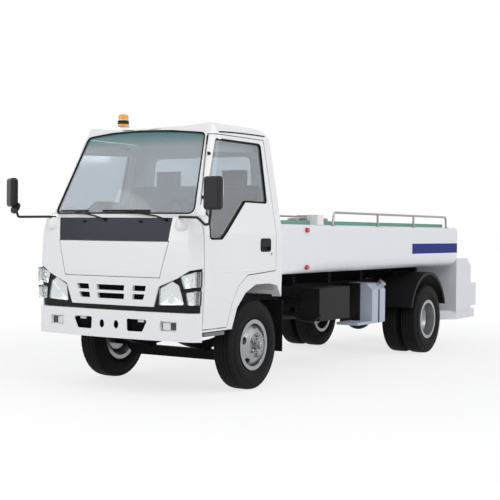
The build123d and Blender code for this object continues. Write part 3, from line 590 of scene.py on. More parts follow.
def rounded(corners: Outline, radius: float, steps: int = 5) -> list[Point]:
    """A closed outline with its corners rounded.

    Args:
        corners: the sharp outline's corners, in order.
        radius: the corners' radius.
        steps: how many points make each corner.

    Returns:
        The outline's points.
    """
    points = []
    count = len(corners)
    for index, corner in enumerate(corners):
        here = Vector((*corner, 0))
        before = Vector((*corners[index - 1], 0)) - here
        after = Vector((*corners[(index + 1) % count], 0)) - here
        half = before.angle(after) / 2
        reach = min(radius / math.tan(half), before.length * 0.48, after.length * 0.48)
        one = here + before.normalized() * reach
        two = here + after.normalized() * reach
        for step in range(steps + 1):
            t = step / steps
            point = one * (1 - t) ** 2 + here * 2 * t * (1 - t) + two * t ** 2
            points.append((point.x, point.y))
    return points


def oblong(left: float, right: float, low: float, high: float, radius: float) -> list[Point]:
    """A rectangle's outline with rounded corners."""
    return rounded(((left, low), (right, low), (right, high), (left, high)), radius)


def resampled(points: Outline, pitch: float) -> list[Point]:
    """The same closed outline with extra points, no further apart than a pitch."""
    result = []
    for index, point in enumerate(points):
        after = points[(index + 1) % len(points)]
        length = math.dist(point, after)
        parts = max(1, math.ceil(length / pitch))
        for part in range(parts):
            t = part / parts
            result.append((point[0] + (after[0] - point[0]) * t, point[1] + (after[1] - point[1]) * t))
    return result


def outward(points: Outline) -> list[Point]:
    """The unit directions that point out of a closed outline at each of its points."""
    area = sum(a[0] * b[1] - b[0] * a[1] for a, b in zip(points, [*points[1:], points[0]]))
    turn = 1 if area > 0 else -1
    result = []
    for index in range(len(points)):
        before, after = points[index - 1], points[(index + 1) % len(points)]
        dx, dy = after[0] - before[0], after[1] - before[1]
        length = math.hypot(dx, dy) or 1
        result.append((dy / length * turn, -dx / length * turn))
    return result


# Repeats


def repeat_tree(name: str, ring: bool) -> Tree:
    """Copies of one shape, in a ring about X or in a grid over X and Y.

    Args:
        name: the tree's name.
        ring: whether the copies go round a ring.

    Returns:
        The tree, with inputs for the shape, its finish and the layout.
    """
    tree = bpy.data.node_groups.new(name, "GeometryNodeTree")
    skin = ("NodeSocketGeometry", None)
    add_sockets(tree, "INPUT", {
        "Geometry": skin, "Shape": ("NodeSocketObject", None), "Finish": ("NodeSocketMaterial", None),
        "Centre": (VECTOR, None), "Count": (WHOLE, None), "Rows": (WHOLE, None), "Reach": (FLOAT, None),
        "Width": (FLOAT, None)})
    add_sockets(tree, "OUTPUT", {"Geometry": skin})
    given = tree.nodes.new("NodeGroupInput").outputs
    if ring:
        spots = add_node(tree, "GeometryNodeMeshCircle", {
            "Vertices": given["Count"], "Radius": given["Reach"]})
    else:
        spots = add_node(tree, "GeometryNodeMeshGrid", {
            "Vertices X": given["Count"], "Vertices Y": given["Rows"],
            "Size X": given["Reach"], "Size Y": given["Width"]})
    info = add_node(tree, "GeometryNodeObjectInfo", {"Object": given["Shape"]})
    copies = add_node(tree, "GeometryNodeInstanceOnPoints", {
        "Points": spots.outputs["Mesh"], "Instance": info.outputs["Geometry"]})
    move = add_node(tree, "GeometryNodeTransform", {
        "Geometry": copies.outputs["Instances"], "Translation": given["Centre"],
        "Rotation": (0, math.pi / 2 if ring else 0, 0)})
    real = add_node(tree, "GeometryNodeRealizeInstances", {"Geometry": move.outputs["Geometry"]})
    paint = add_node(tree, "GeometryNodeSetMaterial", {
        "Geometry": real.outputs["Geometry"], "Material": given["Finish"]})
    add_node(tree, "NodeGroupOutput", {"Geometry": paint.outputs["Geometry"]})
    return tree


RING_OF = repeat_tree("ring_of_copies", True)
GRID_OF = repeat_tree("grid_of_copies", False)


@dataclass
class Repeat:
    """Copies of a small shape that a geometry tree lays out."""

    tree: Tree
    shape: Mesh
    centre: Vector
    count: int
    reach: float
    rows: int = 1
    width: float = 0.0

    def mesh(self, finish: Finish) -> Mesh:
        """Lays the copies out as one plain mesh.

        Args:
            finish: the copies' finish.

        Returns:
            The mesh, in the shared frame.
        """
        shape = put("copied_shape", self.shape)
        carrier = put("layout", bpy.data.meshes.new("layout"))
        modifier = carrier.modifiers.new("layout", "NODES")
        modifier.node_group = self.tree
        values = {
            "Shape": shape, "Finish": finish.material(), "Centre": tuple(self.centre), "Count": self.count,
            "Rows": self.rows, "Reach": self.reach, "Width": self.width,
        }
        for item in self.tree.interface.items_tree:
            if item.in_out == "INPUT" and item.name in values:
                modifier[item.identifier] = values[item.name]
        bpy.context.view_layer.update()
        evaluated = carrier.evaluated_get(bpy.context.evaluated_depsgraph_get())
        made = bpy.data.meshes.new_from_object(evaluated)
        bpy.data.objects.remove(carrier)
        bpy.data.objects.remove(shape)
        return made


def joined(meshes: Sequence[Mesh]) -> Mesh:
    """Several meshes as one."""
    whole = bmesh.new()
    for mesh in meshes:
        whole.from_mesh(mesh)
    made = bpy.data.meshes.new("joined")
    whole.to_mesh(made)
    whole.free()
    return made


def small_shape(build: Callable[[Piece], Piece]) -> Mesh:
    """A mesh about its own origin, for copying."""
    piece = build(Piece("shape", CHASSIS_BLACK))
    bmesh.ops.recalc_face_normals(piece.mesh, faces=piece.mesh.faces)
    mesh = bpy.data.meshes.new("shape")
    piece.mesh.to_mesh(mesh)
    piece.mesh.free()
    return mesh


def mirrored(mesh: Mesh, x: int, z: int) -> Mesh:
    """Mirrors a mesh in place and keeps its faces outwards."""
    mesh.transform(Matrix.Diagonal((x, 1, z, 1)))
    mesh.flip_normals()
    return mesh


def hex_nut(radius: float, height: float, stud: float) -> Mesh:
    """A six-sided nut along Z with a washer face, a chamfered top and the stud that stands out of it.

    Args:
        radius: across the corners, halved, in metres.
        height: the nut's height in metres.
        stud: how far the stud stands out, in metres.

    Returns:
        The nut's mesh.
    """
    washer, wide, tall = height * 0.14, radius * 1.12, height * 0.88

    def build(piece: Piece) -> Piece:
        """Adds the washer face, the nut and its stud."""
        piece.lathe([(0, wide), (washer, wide)], ORIGIN, UP, 16)
        piece.lathe([(washer, radius), (tall, radius), (height, radius * 0.86)], ORIGIN, UP, 6)
        return piece.lathe([(height * 0.9, radius * 0.45), (height + stud, radius * 0.42)], ORIGIN, UP, 12)

    return small_shape(build)


# Wheels

GROOVE = 0.009


@dataclass
class Tyre:
    """A road tyre with ribs and zigzag grooves, in place of the plain solid, in metres.

    The walls' and ribs' rows start with an inset from the side, or a place across. The low wall's heights
    count up from the bead, and the others down from the tread.
    """

    radius: float = 0.401
    width: float = 0.205
    bead: float = 0.2065
    waves: int = 44
    sway: float = 0.0042
    steps: int = 176
    low_wall: Outline = (
        (0.034, 0), (0.027, 0.012), (0.021, 0.026), (0.009, 0.05), (0.007, 0.053), (0.002, 0.07), (0, 0.088))
    high_wall: Sequence[tuple[float, float, float]] = (
        (0.001, 0.085, 0), (0.003, 0.068, 0), (0.0055, 0.066, 0), (0.008, 0.044, 0), (0.0125, 0.03, 0),
        (0.012, 0.027, 0), (0.0185, 0.012, 0), (0.024, 0.0055, 0.3), (0.036, 0.0025, 0.6))
    ribs: Outline = (
        (0.0585, 0.0015), (0.0575, GROOVE), (0.052, GROOVE), (0.051, 0.001), (0.0225, 0.0002),
        (0.0215, GROOVE), (0.0155, GROOVE), (0.0145, 0))

    def profile(self) -> list[tuple[float, float, float]]:
        """The section from bead to bead.

        Returns:
            Rows of (sideways place, radius, how much the zigzag moves it).
        """
        half = self.width / 2
        near = [(half - inset, self.bead + up, 0) for inset, up in self.low_wall]
        near += [(half - inset, self.radius - down, wave) for inset, down, wave in self.high_wall]
        near += [(x, self.radius - down, 1) for x, down in self.ribs]
        return near + [(-x, radius, wave) for x, radius, wave in reversed(near)]

    def add_to(self, piece: Piece, x: float, y: float) -> None:
        """Adds one tyre.

        Args:
            piece: the piece that receives it.
            x: the tyre's middle in metres.
            y: the axle's place in metres.
        """
        centre = Vector((x, y, self.radius))
        profile = self.profile()
        rings = []
        for step, turn in enumerate(turns(self.steps)):
            phase = self.waves * step / self.steps
            zigzag = (abs((phase % 1) - 0.5) * 4 - 1) * self.sway
            rings.append([
                centre + Vector((place + zigzag * wave, math.sin(turn) * radius, math.cos(turn) * radius))
                for place, radius, wave in profile])
        piece.rings(rings, close=True)


@dataclass
class Wheels:
    """The tyres, wheel nuts and hub caps of all wheels, in metres but for the rear axle's millimetres."""

    front_x: float = 0.756
    rear_x: float = 0.709
    twin: float = 0.24
    rear_y: float = 3815.0
    rear_disc: float = 0.010
    rear_hub: float = 0.1
    nut: tuple[float, float, float] = (0.0205, 0.024, 0.012)
    nuts: int = 6
    nut_ring: float = 0.0915
    front_cap: Outline = ((0, 0.036), (0.004, 0.036), (0.008, 0.03), (0.008, 0.0))
    rear_cap: Outline = ((0, 0.06), (0.004, 0.06), (0.008, 0.052), (0.008, 0.0))
    tyre: Tyre = field(default_factory=Tyre)

    def front(self, side: Side) -> None:
        """Dresses one front wheel."""
        body = Body.FRONT_WHEEL_LEFT if side is Side.LEFT else Body.FRONT_WHEEL_RIGHT
        piece = Piece(f"road_tyre_front_{side.word}", TYRE_RUBBER, body)
        self.tyre.add_to(piece, side.value * self.front_x, AXLE_Y)
        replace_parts(piece.done(50), f"front_tyre_{side.word}")
        self.nut_set(f"front_{side.word}", body, side, self.front_x + self.twin / 2, AXLE_Y)
        low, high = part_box(f"front_rim_{side.word}")
        end = high.x if side is Side.LEFT else low.x
        cap = Piece(f"hub_cap_front_{side.word}", NUT_STEEL, body)
        cap.lathe(self.front_cap, Vector((end, AXLE_Y, self.tyre.radius)), LEFT * side.value, 24).done()

    def rear(self, side: Side) -> None:
        """Dresses one pair of rear wheels."""
        body = Body.REAR_WHEELS_LEFT if side is Side.LEFT else Body.REAR_WHEELS_RIGHT
        y = at(0, self.rear_y, 0).y
        piece = Piece(f"road_tyres_rear_{side.word}", TYRE_RUBBER, body)
        for place in (self.rear_x - self.twin / 2, self.rear_x + self.twin / 2):
            self.tyre.add_to(piece, side.value * place, y)
        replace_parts(piece.done(50), f"rear_tyres_{side.word}")
        self.nut_set(f"rear_{side.word}", body, side, self.rear_x + self.rear_disc, y)
        hub = Vector((side.value * (self.rear_x + self.rear_hub), y, self.tyre.radius))
        cap = Piece(f"hub_cap_rear_{side.word}", NUT_STEEL, body)
        cap.lathe(self.rear_cap, hub, LEFT * side.value, 28).done()

    def nut_set(self, wheel: str, body: Body, side: Side, face: float, y: float) -> None:
        """Lays one ring of wheel nuts round a hub, on a face this far out."""
        nut = hex_nut(*self.nut)
        if side is Side.RIGHT:
            nut = mirrored(nut, 1, -1)
        middle = Vector((side.value * face, y, self.tyre.radius))
        layout = Repeat(RING_OF, nut, middle, self.nuts, self.nut_ring)
        dress(layout.mesh(NUT_STEEL), f"wheel_nuts_{wheel}", body, NUT_STEEL, 30)

    def build(self) -> None:
        """Dresses every wheel."""
        for side in Side:
            self.front(side)
            self.rear(side)


# Cab


@dataclass
class CabTrim:
    """Seals, rails, rods, lamps and small parts on the cab.

    The outlines are in millimetres. A section's rows are how far it lies out of the outline, or up, and its
    place or lift. A turned profile is in metres.
    """

    window: Outline = (
        (-495, 2215), (216, 2215), (186, 1679), (-181, 1682), (-618, 1353), (-800, 1353), (-773, 1636))
    seal: Outline = ((7, -1), (7, 2), (2, 4), (-8, 3), (-10, -30), (1, -30))
    handle: tuple[float, float, float, float] = (16, 184, 1243, 1352)
    handle_rim: Outline = ((0, 900.3), (0, 903), (-6, 904), (-15, 902), (-15, 881), (-7, 881), (-7, 900.3))
    lock: Outline = ((0, 0.012), (0.003, 0.012), (0.004, 0.009), (0.002, 0.0))
    gutter: Outline = ((-440, 2279), (-300, 2287), (-100, 2294), (120, 2298), (330, 2298))
    crease: Outline = ((7, 0.05), (3, 1.8), (-1, 2.4), (-2.5, 0.05))
    crease_z: float = 1069
    rod: Outline = ((808, 1640), (797, 1700), (735, 2082), (690, 2240))
    rod_mount: Outline = ((0, 0.014), (0.03, 0.011), (0.036, 0.006))
    mirror_foot: Point = (704, 1476)
    cowl: tuple[float, float, float] = (664, 1526.5, 1546)
    screen: Outline = (
        (-645, 2262), (-330, 2288), (0, 2296), (330, 2288), (645, 2262), (756, 1572), (-756, 1572))
    screen_lap: Outline = ((13, 0.5), (14, 2.2), (29, 2.0), (31, 0.3))
    reflectors: tuple[tuple[str, Outline, Point], ...] = (
        ("main_reflector", ((500, 790), (512, 935), (635, 998), (700, 962), (742, 800)), (618, 878)),
        ("turn_reflector", ((716, 1040), (850, 1078), (862, 1080), (862, 954), (750, 934)), (800, 1012)),
        ("low_reflector", ((762, 904), (858, 924), (858, 800), (778, 798)), (815, 862)))
    bowl: Outline = ((0.975, 7.5), (0.9, 5.5), (0.78, 4.0), (0.6, 2.6), (0.4, 1.6), (0.2, 1.0), (0.05, 0.8))
    flute: float = 0.9
    bulb: Outline = ((0, 0.013), (0.003, 0.012), (0.006, 0.007), (0.0066, 0.0005))
    air: Outline = ((190, 667), (404, 665), (353, 563), (196, 561))
    sleeve: Outline = ((0.4, 5), (1.6, 5), (1.6, 40), (0.4, 40))
    # Painted shade: near-black panels behind the grille and the bumper's openings, each between two corners.
    lining_boxes: Sequence[tuple[Corner, Corner]] = (
        ((-500, -948, 790), (500, -944, 1015)), ((-440, -962, 545), (-160, -958, 690)),
        ((160, -962, 545), (440, -958, 690)), ((-140, -958, 560), (140, -954, 660)))
    nozzle_places: Outline = ((-309, 1492), (309, 1492))
    fog_grid: tuple[tuple[float, ...], ...] = ((543, 576, 609, 642, 675), (589, 604, 619, 634, 648))
    beacon_foot: Outline = ((2.402, 0.0535), (2.436, 0.0505), (2.436, 0.0482), (2.402, 0.0482))
    beacon_ring: Outline = ((2.436, 0.0505), (2.441, 0.0505), (2.441, 0.0482), (2.436, 0.0482))

    def window_seal(self, side: Side) -> None:
        """The black rubber round one door's window."""
        door = Surface(f"door_{side.word}")
        s = side.value
        points = resampled(rounded(self.window, 34), 60)
        rings = []
        for (y, z), (oy, oz) in zip(points, outward(points)):
            face = door.from_side(side, y + oy * 9, z + oz * 9).x * 1000 * s
            rings.append([at(s * (face + x), y + oy * out, z + oz * out) for out, x in self.seal])
        Piece(f"window_seal_{side.word}", TRIM_RUBBER, door_body(side)).rings(rings, close=True).done(40)

    def handle_set(self, side: Side) -> None:
        """The black pull handle in its recess, and the lock under it."""
        y0, y1, z0, z1 = self.handle
        s = side.value
        piece = Piece(f"door_handle_{side.word}", BLACK_PLASTIC, door_body(side))
        edge = resampled(oblong(y0 - 6, y1 + 6, z0 - 6, z1 + 6, 30), 30)
        piece.rings([
            [at(s * x, y + oy * out, z + oz * out) for out, x in self.handle_rim]
            for (y, z), (oy, oz) in zip(edge, outward(edge))], close=True)
        back = oblong(y0 + 5, y1 - 5, z0 + 5, z1 - 5, 24)
        paddle = oblong(y0 + 12, y1 - 12, z0 + 38, z1 - 10, 18)
        for outline, x, depth in ((back, 878.5, 0.003), (paddle, 890, 0.012)):
            piece.plate([at(s * x, y, z) for y, z in outline], LEFT * (s * depth))
        piece.done(30)
        lock = Piece(f"door_lock_{side.word}", NUT_STEEL, door_body(side))
        lock.lathe(self.lock, at(s * 900, 202, 1216), LEFT * s, 20).done()

    def drip_rail(self, side: Side) -> None:
        """The black gutter over one door."""
        shell = Surface("cab_shell")
        path = [shell.from_side(side, y, z) for y, z in self.gutter]
        Piece(f"drip_rail_{side.word}", TRIM_RUBBER).tube(path, 0.007, 8).done()

    def door_crease(self, side: Side) -> None:
        """The pressed line across one door."""
        door = Surface(f"door_{side.word}")
        rings = [
            [door.from_side(side, y, self.crease_z + up, out) for up, out in self.crease]
            for y in range(-850, 275, 25)]
        Piece(f"door_crease_{side.word}", CAB_WHITE, door_body(side)).rings(rings).done(20)

    def antenna(self) -> None:
        """The rod beside the left front pillar, in its two mounts."""
        shell = Surface("cab_shell", "windscreen_seal", "door_left")
        foot, low, high, tip = [shell.from_front(x, z, 26) for x, z in self.rod]
        piece = Piece("antenna", BLACK_PLASTIC).tube([foot, tip], 0.0035, 8)
        for spot in (low, high):
            piece.lathe(self.rod_mount, spot + BACK * 0.03, Vector((0.3, -1, 0.2)), 14)
        piece.done()

    def blisters(self) -> None:
        """The smooth covers under the mirror arms."""
        skin = Surface("cab_shell")
        x, z = self.mirror_foot
        steps = 14
        for side in Side:
            centre = skin.from_front(side.value * x, z)
            rings = []
            for step in range(steps):
                tilt = math.pi * (step + 0.5) / steps - math.pi / 2
                across = math.cos(tilt) ** 0.6
                up = math.copysign(abs(math.sin(tilt)) ** 0.8, tilt)
                wide = 0.058 - 0.012 * up
                rings.append([
                    centre + Vector((
                        wide * across * math.cos(turn), 0.04 * across * math.sin(turn), 0.057 * up))
                    for turn in turns(32)])
            Piece(f"mirror_mount_{side.word}", CAB_WHITE).rings(rings).done(60)

    def nozzles(self) -> None:
        """Two washer nozzles on the dark panel."""
        skin = Surface("garnish")
        piece = Piece("washer_nozzles", BLACK_PLASTIC)
        for x, z in self.nozzle_places:
            foot = skin.from_front(x, z)
            piece.box(foot + Vector((-0.014, -0.016, -0.008)), foot + Vector((0.014, 0.004, 0.012)), 0.004)
        piece.done()

    def cowl_strip(self) -> None:
        """The dark strip between the windscreen's seal and the dark panel."""
        skin = Surface("cab_shell", "garnish", "windscreen_seal")
        half, bottom, top = self.cowl
        count = 33
        rings = []
        for index in range(count):
            x = -half + 2 * half * index / (count - 1)
            low, high = skin.from_front(x, bottom, 0.6), skin.from_front(x, top, 0.6)
            rings.append([low, high, high + BACK * 0.004, low + BACK * 0.004])
        Piece("cowl_strip", BLACK_PLASTIC).rings(rings).done(30)

    def pillar_edge(self) -> None:
        """The painted edge that laps over the outer part of the windscreen's seal."""
        skin = Surface("windscreen_seal", "cab_shell")
        points = resampled(rounded(self.screen, 42), 45)
        rings = [
            [skin.from_front(x + ox * out, z + oz * out, lift) for out, lift in self.screen_lap]
            for (x, z), (ox, oz) in zip(points, outward(points))]
        Piece("windscreen_edge", CAB_WHITE).rings(rings, close=True).done(40)

    def reflector(self, side: Side, name: str, corners: Outline, bulb: Point) -> None:
        """The fluted reflector behind one lens, with its bulb.

        Args:
            side: which lamp.
            name: the name of the piece.
            corners: the lens outline, as millimetres to the side and above the ground.
            bulb: where the bowl's middle lies.
        """
        back = Surface("lamp_surround")
        s = side.value
        edge = resampled(rounded(corners, 15), 9)
        mid_x, mid_z = (sum(point[axis] for point in edge) / len(edge) for axis in (0, 1))
        rings = []
        for share, lift in self.bowl:
            cx, cz = mid_x + (bulb[0] - mid_x) * (1 - share), mid_z + (bulb[1] - mid_z) * (1 - share)
            rings.append([
                back.from_front(s * (cx + (x - mid_x) * share), cz + (z - mid_z) * share,
                                lift + self.flute * (index % 2) * share)
                for index, (x, z) in enumerate(edge)])
        Piece(f"{name}_{side.word}", REFLECTOR_SILVER).rings(rings, caps=False).done(8)
        spot = back.from_front(s * bulb[0], bulb[1], 0.5)
        Piece(f"{name}_bulb_{side.word}", REFLECTOR_SILVER).lathe(self.bulb, spot, -BACK, 20).done(40)

    def fog_reflectors(self) -> None:
        """Bright reflectors behind the fog lamps' lenses."""
        lens = Surface("fog_lamps")
        piece = Piece("fog_reflectors", LAMP_SILVER)
        columns, rows = self.fog_grid
        wide = len(columns)
        corners = [row * wide + column for row in range(len(rows) - 1) for column in range(wide - 1)]
        for s in (-1, 1):
            points = [lens.from_front(s * x, z, -6) for z in rows for x in columns]
            piece.add(points, [(one, one + 1, one + wide + 1, one + wide) for one in corners])
        piece.done()

    def beacon_parts(self) -> None:
        """The beacon's dark foot and the pale ring over it."""
        low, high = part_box("beacon")
        centre = Vector(((low.x + high.x) / 2, (low.y + high.y) / 2, 0))
        Piece("beacon_foot", BLACK_PLASTIC).lathe(self.beacon_foot, centre, UP, 36, close=True).done()
        Piece("beacon_ring", CAB_WHITE).lathe(self.beacon_ring, centre, UP, 36, close=True).done()

    def mirror_glass(self) -> None:
        """The silvered glass on the backs of both mirror heads."""
        low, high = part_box("mirrors")
        piece = Piece("mirror_glass", REFLECTOR_SILVER)
        heads = ((high.x - 0.0911, 1725, -8, 80, 124), (low.x + 0.0799, 1752, -30, 74, 119))
        for x, z, turn, half_x, half_z in heads:
            centre = at(0, -1048, z) + LEFT * x
            spin = Matrix.Rotation(math.radians(turn), 3, "Z")
            edge = oblong(-half_x, half_x, -half_z, half_z, 22)
            face = [centre + spin @ Vector((px / 1000, 0.0332, pz / 1000)) for px, pz in edge]
            piece.plate(face, spin @ (BACK * 0.0015))
        piece.done()

    def sleeves(self) -> None:
        """Painted shade: near-black, dull inner walls in the bumper's air openings and tow holes, where the
        openings lie in shade.
        """
        skin = Surface("bumper")
        piece = Piece("bumper_sleeves", PAINTED_SHADE_BLACK)
        eye = [(78 + 26 * math.cos(turn), 612 + 36 * math.sin(turn)) for turn in turns(28)]
        for edge in (rounded(self.air, 16), eye):
            points = resampled(edge, 30)
            for s in (-1, 1):
                rings = []
                for (x, z), (ox, oz) in zip(points, outward(points)):
                    face = skin.from_front(s * (x + ox * 3), z + oz * 3)
                    rings.append([
                        face + Vector((-s * ox * (3 + inset) / 1000, depth / 1000, -oz * (3 + inset) / 1000))
                        for inset, depth in self.sleeve])
                piece.rings(rings, close=True)
        piece.done(30)

    def linings(self) -> None:
        """Painted shade: near-black, dull panels behind the grille and the bumper's openings, in place of the
        shade there.
        """
        piece = Piece("front_linings", PAINTED_SHADE_BLACK)
        for low, high in self.lining_boxes:
            piece.box(at(*low), at(*high))
        piece.done()

    def build(self) -> None:
        """Makes every piece of the cab's trim."""
        for side in Side:
            for part in (self.window_seal, self.handle_set, self.drip_rail, self.door_crease):
                part(side)
        for part in (self.antenna, self.blisters, self.nozzles, self.cowl_strip, self.pillar_edge):
            part()
        for side in Side:
            for lens in self.reflectors:
                self.reflector(side, *lens)
        for part in (self.fog_reflectors, self.beacon_parts, self.mirror_glass, self.sleeves, self.linings):
            part()


# Service body


@dataclass
class ServiceTrim:
    """The tank's band, the walkway's studs and the small parts on the lids, rails and tail."""

    band: Outline = ((3258, 1182), (4644, 1182), (4644, 1298), (3258, 1298))
    band_x: float = 950.2
    rail_x: float = 920
    posts: tuple[float, ...] = (1351, 2395, 3350, 4341)
    foot: Outline = ((0, 0.026), (0.004, 0.026), (0.005, 0.022))
    lid_y: float = 2500
    lid_ring: float = 0.2
    grip: Outline = ((-0.07, 0), (-0.07, 0.03), (0.07, 0.03), (0.07, 0))
    bar: float = 0.006

    def bands(self) -> None:
        """The blue band on each side of the tank."""
        for side in Side:
            points = [at(side.value * self.band_x, y, z) for y, z in self.band]
            Piece(f"blue_band_{side.word}", BAND_BLUE).plate(points, LEFT * (side.value * 0.0006)).done()

    def studs(self) -> None:
        """Raised studs over the walkway."""
        shape = small_shape(lambda piece: piece.lathe([(0, 0.007), (0.0018, 0.005)], ORIGIN, UP, 6))
        meshes = [
            Repeat(GRID_OF, shape, at(0, y, 1530), 34, 1.62, rows, width).mesh(DECK_GREEN)
            for y, rows, width in ((1740, 20, 0.95), (3595, 32, 1.56))]
        dress(joined(meshes), "walkway_studs", Body.CHASSIS, DECK_GREEN, 20)

    def lid_parts(self) -> None:
        """The manhole lid's rim and grip."""
        low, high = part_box("manhole_lid")
        centre = Vector(((low.x + high.x) / 2, at(0, self.lid_y, 0).y, high.z))
        reach = self.lid_ring
        ring = [centre + (LEFT * math.cos(turn) + BACK * math.sin(turn)) * reach for turn in turns(40)]
        piece = Piece("manhole_fittings", STAINLESS, Body.MANHOLE_LID)
        piece.tube(ring, self.bar, 8, close=True)
        piece.tube([centre + Vector((x, -0.12, up)) for x, up in self.grip], self.bar, 8).done()

    def rail_feet(self) -> None:
        """Round flanges where the rails' posts meet the tank."""
        piece = Piece("rail_feet", STAINLESS)
        for s in (-1, 1):
            for y in self.posts:
                piece.lathe(self.foot, at(s * self.rail_x, y, 1488), UP, 20)
        piece.done()

    def cabinet_parts(self) -> None:
        """Hinges on the cabinet's lid, and the lamps on the tail."""
        low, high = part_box("cabinet_lid")
        hinges = Piece("cabinet_hinges", STAINLESS, Body.CABINET_LID)
        for x in (-0.7, 0, 0.7):
            one, two = Vector((x - 0.05, low.y, high.z)), Vector((x + 0.05, low.y, high.z))
            hinges.box(one + BACK * 0.004, two + Vector((0, 0.06, 0.004)), 0.001)
            hinges.tube([one, two], self.bar, 10)
        hinges.done()
        lamps = Piece("tail_lamps", RED_LENS)
        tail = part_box("tail_box")[1].y
        for x in (-0.74, 0.74):
            lamps.box(Vector((x - 0.09, tail - 0.004, 0.6)), Vector((x + 0.09, tail + 0.012, 0.68)), 0.005)
        lamps.done()

    def build(self) -> None:
        """Makes every piece of the service body's trim."""
        for part in (self.bands, self.studs, self.lid_parts, self.rail_feet, self.cabinet_parts):
            part()


@dataclass
class ChassisTrim:
    """Bolt heads on the rails, and the grey tank's strap, the black plate over its front, and its cap."""

    bolt: Outline = ((-0.001, 0.012), (0.007, 0.012), (0.009, 0.009))
    rail_x: float = 350
    bolt_rows: tuple[float, ...] = (660, 780)
    cap: Outline = ((0.028, 0.046), (0.05, 0.046), (0.054, 0.04), (0.054, 0.0))
    cap_axis: tuple[float, float, float] = (0.65, 0, 0.75)

    def rail_bolts(self) -> None:
        """Bolt heads along both rails."""
        def head(piece: Piece) -> Piece:
            """Adds one bolt head that points along X."""
            return piece.lathe(self.bolt, ORIGIN, LEFT, 6)

        sides = ((1, small_shape(head)), (-1, mirrored(small_shape(head), -1, 1)))
        meshes = [
            Repeat(GRID_OF, mesh, at(s * self.rail_x, 1900, z), 1, 0.0, 24, 5.4).mesh(CHASSIS_BLACK)
            for s, mesh in sides for z in self.bolt_rows]
        dress(joined(meshes), "rail_bolts", Body.CHASSIS, CHASSIS_BLACK, 30)

    def tank_fittings(self) -> None:
        """The grey tank's strap, the black plate over its front face, and its cap."""
        for name, low, high, bevel in (
                ("side_tank_strap", (850, 2585, 433), (853, 2612, 800), 0.001),
                # A thin black plate over the inner part of the grey tank's front face, which makes that part
                # dark.
                ("side_tank_shroud", (470, 2404, 436), (708, 2429.5, 869), 0.004)):
            Piece(name, BLACK_PLASTIC).box(at(*low), at(*high), bevel).done()
        cap = Piece("side_tank_cap", STAINLESS)
        cap.lathe(self.cap, at(818, 2690, 838), Vector(self.cap_axis), 28).done()

    def build(self) -> None:
        """Makes every piece of the chassis trim."""
        self.rail_bolts()
        self.tank_fittings()


# Studio


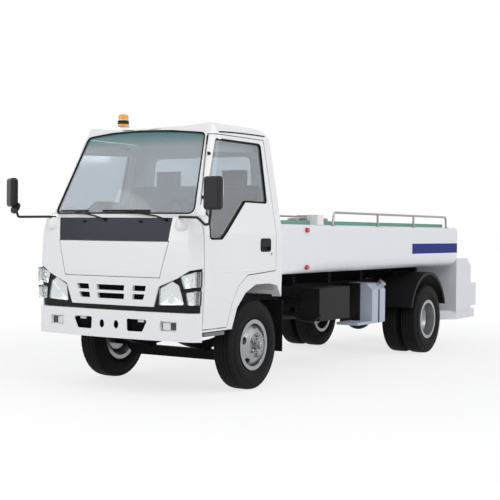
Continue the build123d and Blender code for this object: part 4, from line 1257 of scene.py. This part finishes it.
@dataclass
class Studio:
    """The plain floor, the soft light and the camera.

    The camera's turns are in degrees and its eye is as at takes it. The rest is in metres and watts.
    """

    lens: float = 79.27
    sensor: float = 36
    sight: float = 200
    yaw: float = 31.913
    pitch: float = 0.960
    roll: float = 0.589
    eye: tuple[float, float, float] = (6027, -8401, 1418)
    surround: float = 0.5
    surround_colour: tuple[float, float, float, float] = (0.94, 0.96, 1, 1)
    floor_reach: float = 60.0
    floor_colour: tuple[float, float, float, float] = (0.86, 0.86, 0.86, 1)
    floor_glow: float = 1.05
    floor_fade: tuple[tuple[float, float], ...] = ((3.5, 0.7), (9.0, 1.0))
    aim: tuple[float, float, float] = (0, 0, 1.2)
    lamp_size: float = 7
    lamps: tuple[tuple[str, tuple[float, float, float], float], ...] = (
        ("key", (7, -7, 8), 380), ("front_fill", (-4, -10, 5), 235), ("side_fill", (10, 3, 5), 240),
        ("far_fill", (-9, 4, 6), 200))

    def camera(self) -> None:
        """Sets the camera at the photograph's place."""
        yaw, pitch, roll = (math.radians(value) for value in (self.yaw, self.pitch, self.roll))
        right = Vector((math.cos(yaw), math.sin(yaw), 0))
        level = math.cos(pitch)
        ahead = Vector((-math.sin(yaw) * level, math.cos(yaw) * level, -math.sin(pitch)))
        up = right.cross(ahead)
        lean, rise = math.sin(roll), math.cos(roll)
        right, up = rise * right + lean * up, rise * up - lean * right
        data = bpy.data.cameras.new("camera")
        data.lens = self.lens
        data.sensor_width = self.sensor
        data.clip_end = self.sight
        thing = put("camera", data)
        turn = Matrix((right, up, -ahead)).transposed()
        thing.matrix_world = Matrix.Translation(at(*self.eye)) @ turn.to_4x4()
        bpy.context.scene.camera = thing

    def seen_mix(self, tree: Tree, lit: Socket, plain: Socket,
                 share: object, target: Socket) -> None:
        """Shows a plain shader to camera, mirror and glass rays, and a lit one to the rest.

        Args:
            tree: the node tree.
            lit: the shader that light works on.
            plain: the shader of even brightness.
            share: how much of the plain one those rays see, a number or a socket.
            target: the output socket.
        """
        path = tree.nodes.new("ShaderNodeLightPath").outputs
        first = add_node(tree, "ShaderNodeMath", {0: path["Is Camera Ray"], 1: path["Is Glossy Ray"]},
                         operation="MAXIMUM")
        seen = add_node(tree, "ShaderNodeMath", {0: first.outputs[0], 1: path["Is Transmission Ray"]},
                        operation="MAXIMUM")
        part = add_node(tree, "ShaderNodeMath", {0: seen.outputs[0], 1: share}, operation="MULTIPLY")
        mix = add_node(tree, "ShaderNodeMixShader", {0: part.outputs[0], 1: lit, 2: plain})
        tree.links.new(mix.outputs[0], target)

    def world(self) -> None:
        """An even pale surround."""
        world = bpy.data.worlds.new("surround")
        world.use_nodes = True
        tree = world.node_tree
        soft = tree.nodes["Background"]
        fill(tree, soft, {"Color": self.surround_colour, "Strength": self.surround})
        plain = add_node(tree, "ShaderNodeBackground", {"Color": WHITE, "Strength": 1.0})
        target = tree.nodes["World Output"].inputs["Surface"]
        self.seen_mix(tree, soft.outputs[0], plain.outputs[0], 1.0, target)
        bpy.context.scene.world = world

    def floor(self) -> None:
        """A pale floor that keeps the truck's shadow and fades out around it."""
        mesh = bpy.data.meshes.new("floor")
        far = self.floor_reach
        mesh.from_pydata([(-far, -far, 0), (far, -far, 0), (far, far, 0), (-far, far, 0)], [], [(0, 1, 2, 3)])
        thing = put("floor", mesh)
        material = bpy.data.materials.new("floor_pale")
        material.use_nodes = True
        tree = material.node_tree
        shader = tree.nodes["Principled BSDF"]
        fill(tree, shader, {"Base Color": self.floor_colour, "Roughness": 0.9})
        glow = add_node(tree, "ShaderNodeEmission", {"Color": WHITE, "Strength": self.floor_glow})
        place = tree.nodes.new("ShaderNodeTexCoord")
        away = add_node(tree, "ShaderNodeVectorMath", {0: place.outputs["Object"]}, operation="LENGTH")
        (near, near_share), (gone, gone_share) = self.floor_fade
        fade = add_node(tree, "ShaderNodeMapRange", {
            "From Min": near, "From Max": gone, "To Min": near_share, "To Max": gone_share,
            "Value": away.outputs["Value"]})
        target = tree.nodes["Material Output"].inputs["Surface"]
        self.seen_mix(tree, shader.outputs[0], glow.outputs[0], fade.outputs["Result"], target)
        mesh.materials.append(material)

    def lamp(self, name: str, place: tuple[float, float, float], power: float) -> None:
        """A soft square lamp that points at the truck's middle."""
        data = bpy.data.lights.new(name, "AREA")
        data.size = self.lamp_size
        data.energy = power
        thing = put(name, data)
        where = Vector(place)
        turn = (Vector(self.aim) - where).to_track_quat("-Z", "Y")
        thing.matrix_world = Matrix.Translation(where) @ turn.to_matrix().to_4x4()

    def build(self) -> None:
        """Makes the whole studio."""
        self.camera()
        self.world()
        self.floor()
        for lamp in self.lamps:
            self.lamp(*lamp)
        bpy.context.scene.view_settings.view_transform = "Standard"


def main() -> None:
    """Builds the scene in order."""
    logging.basicConfig(level=logging.INFO, format="%(name)s: %(message)s")
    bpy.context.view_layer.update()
    paint_nodes()
    Wheels().build()
    CabTrim().build()
    ServiceTrim().build()
    ChassisTrim().build()
    Studio().build()


if __name__ == "__main__":
    main()
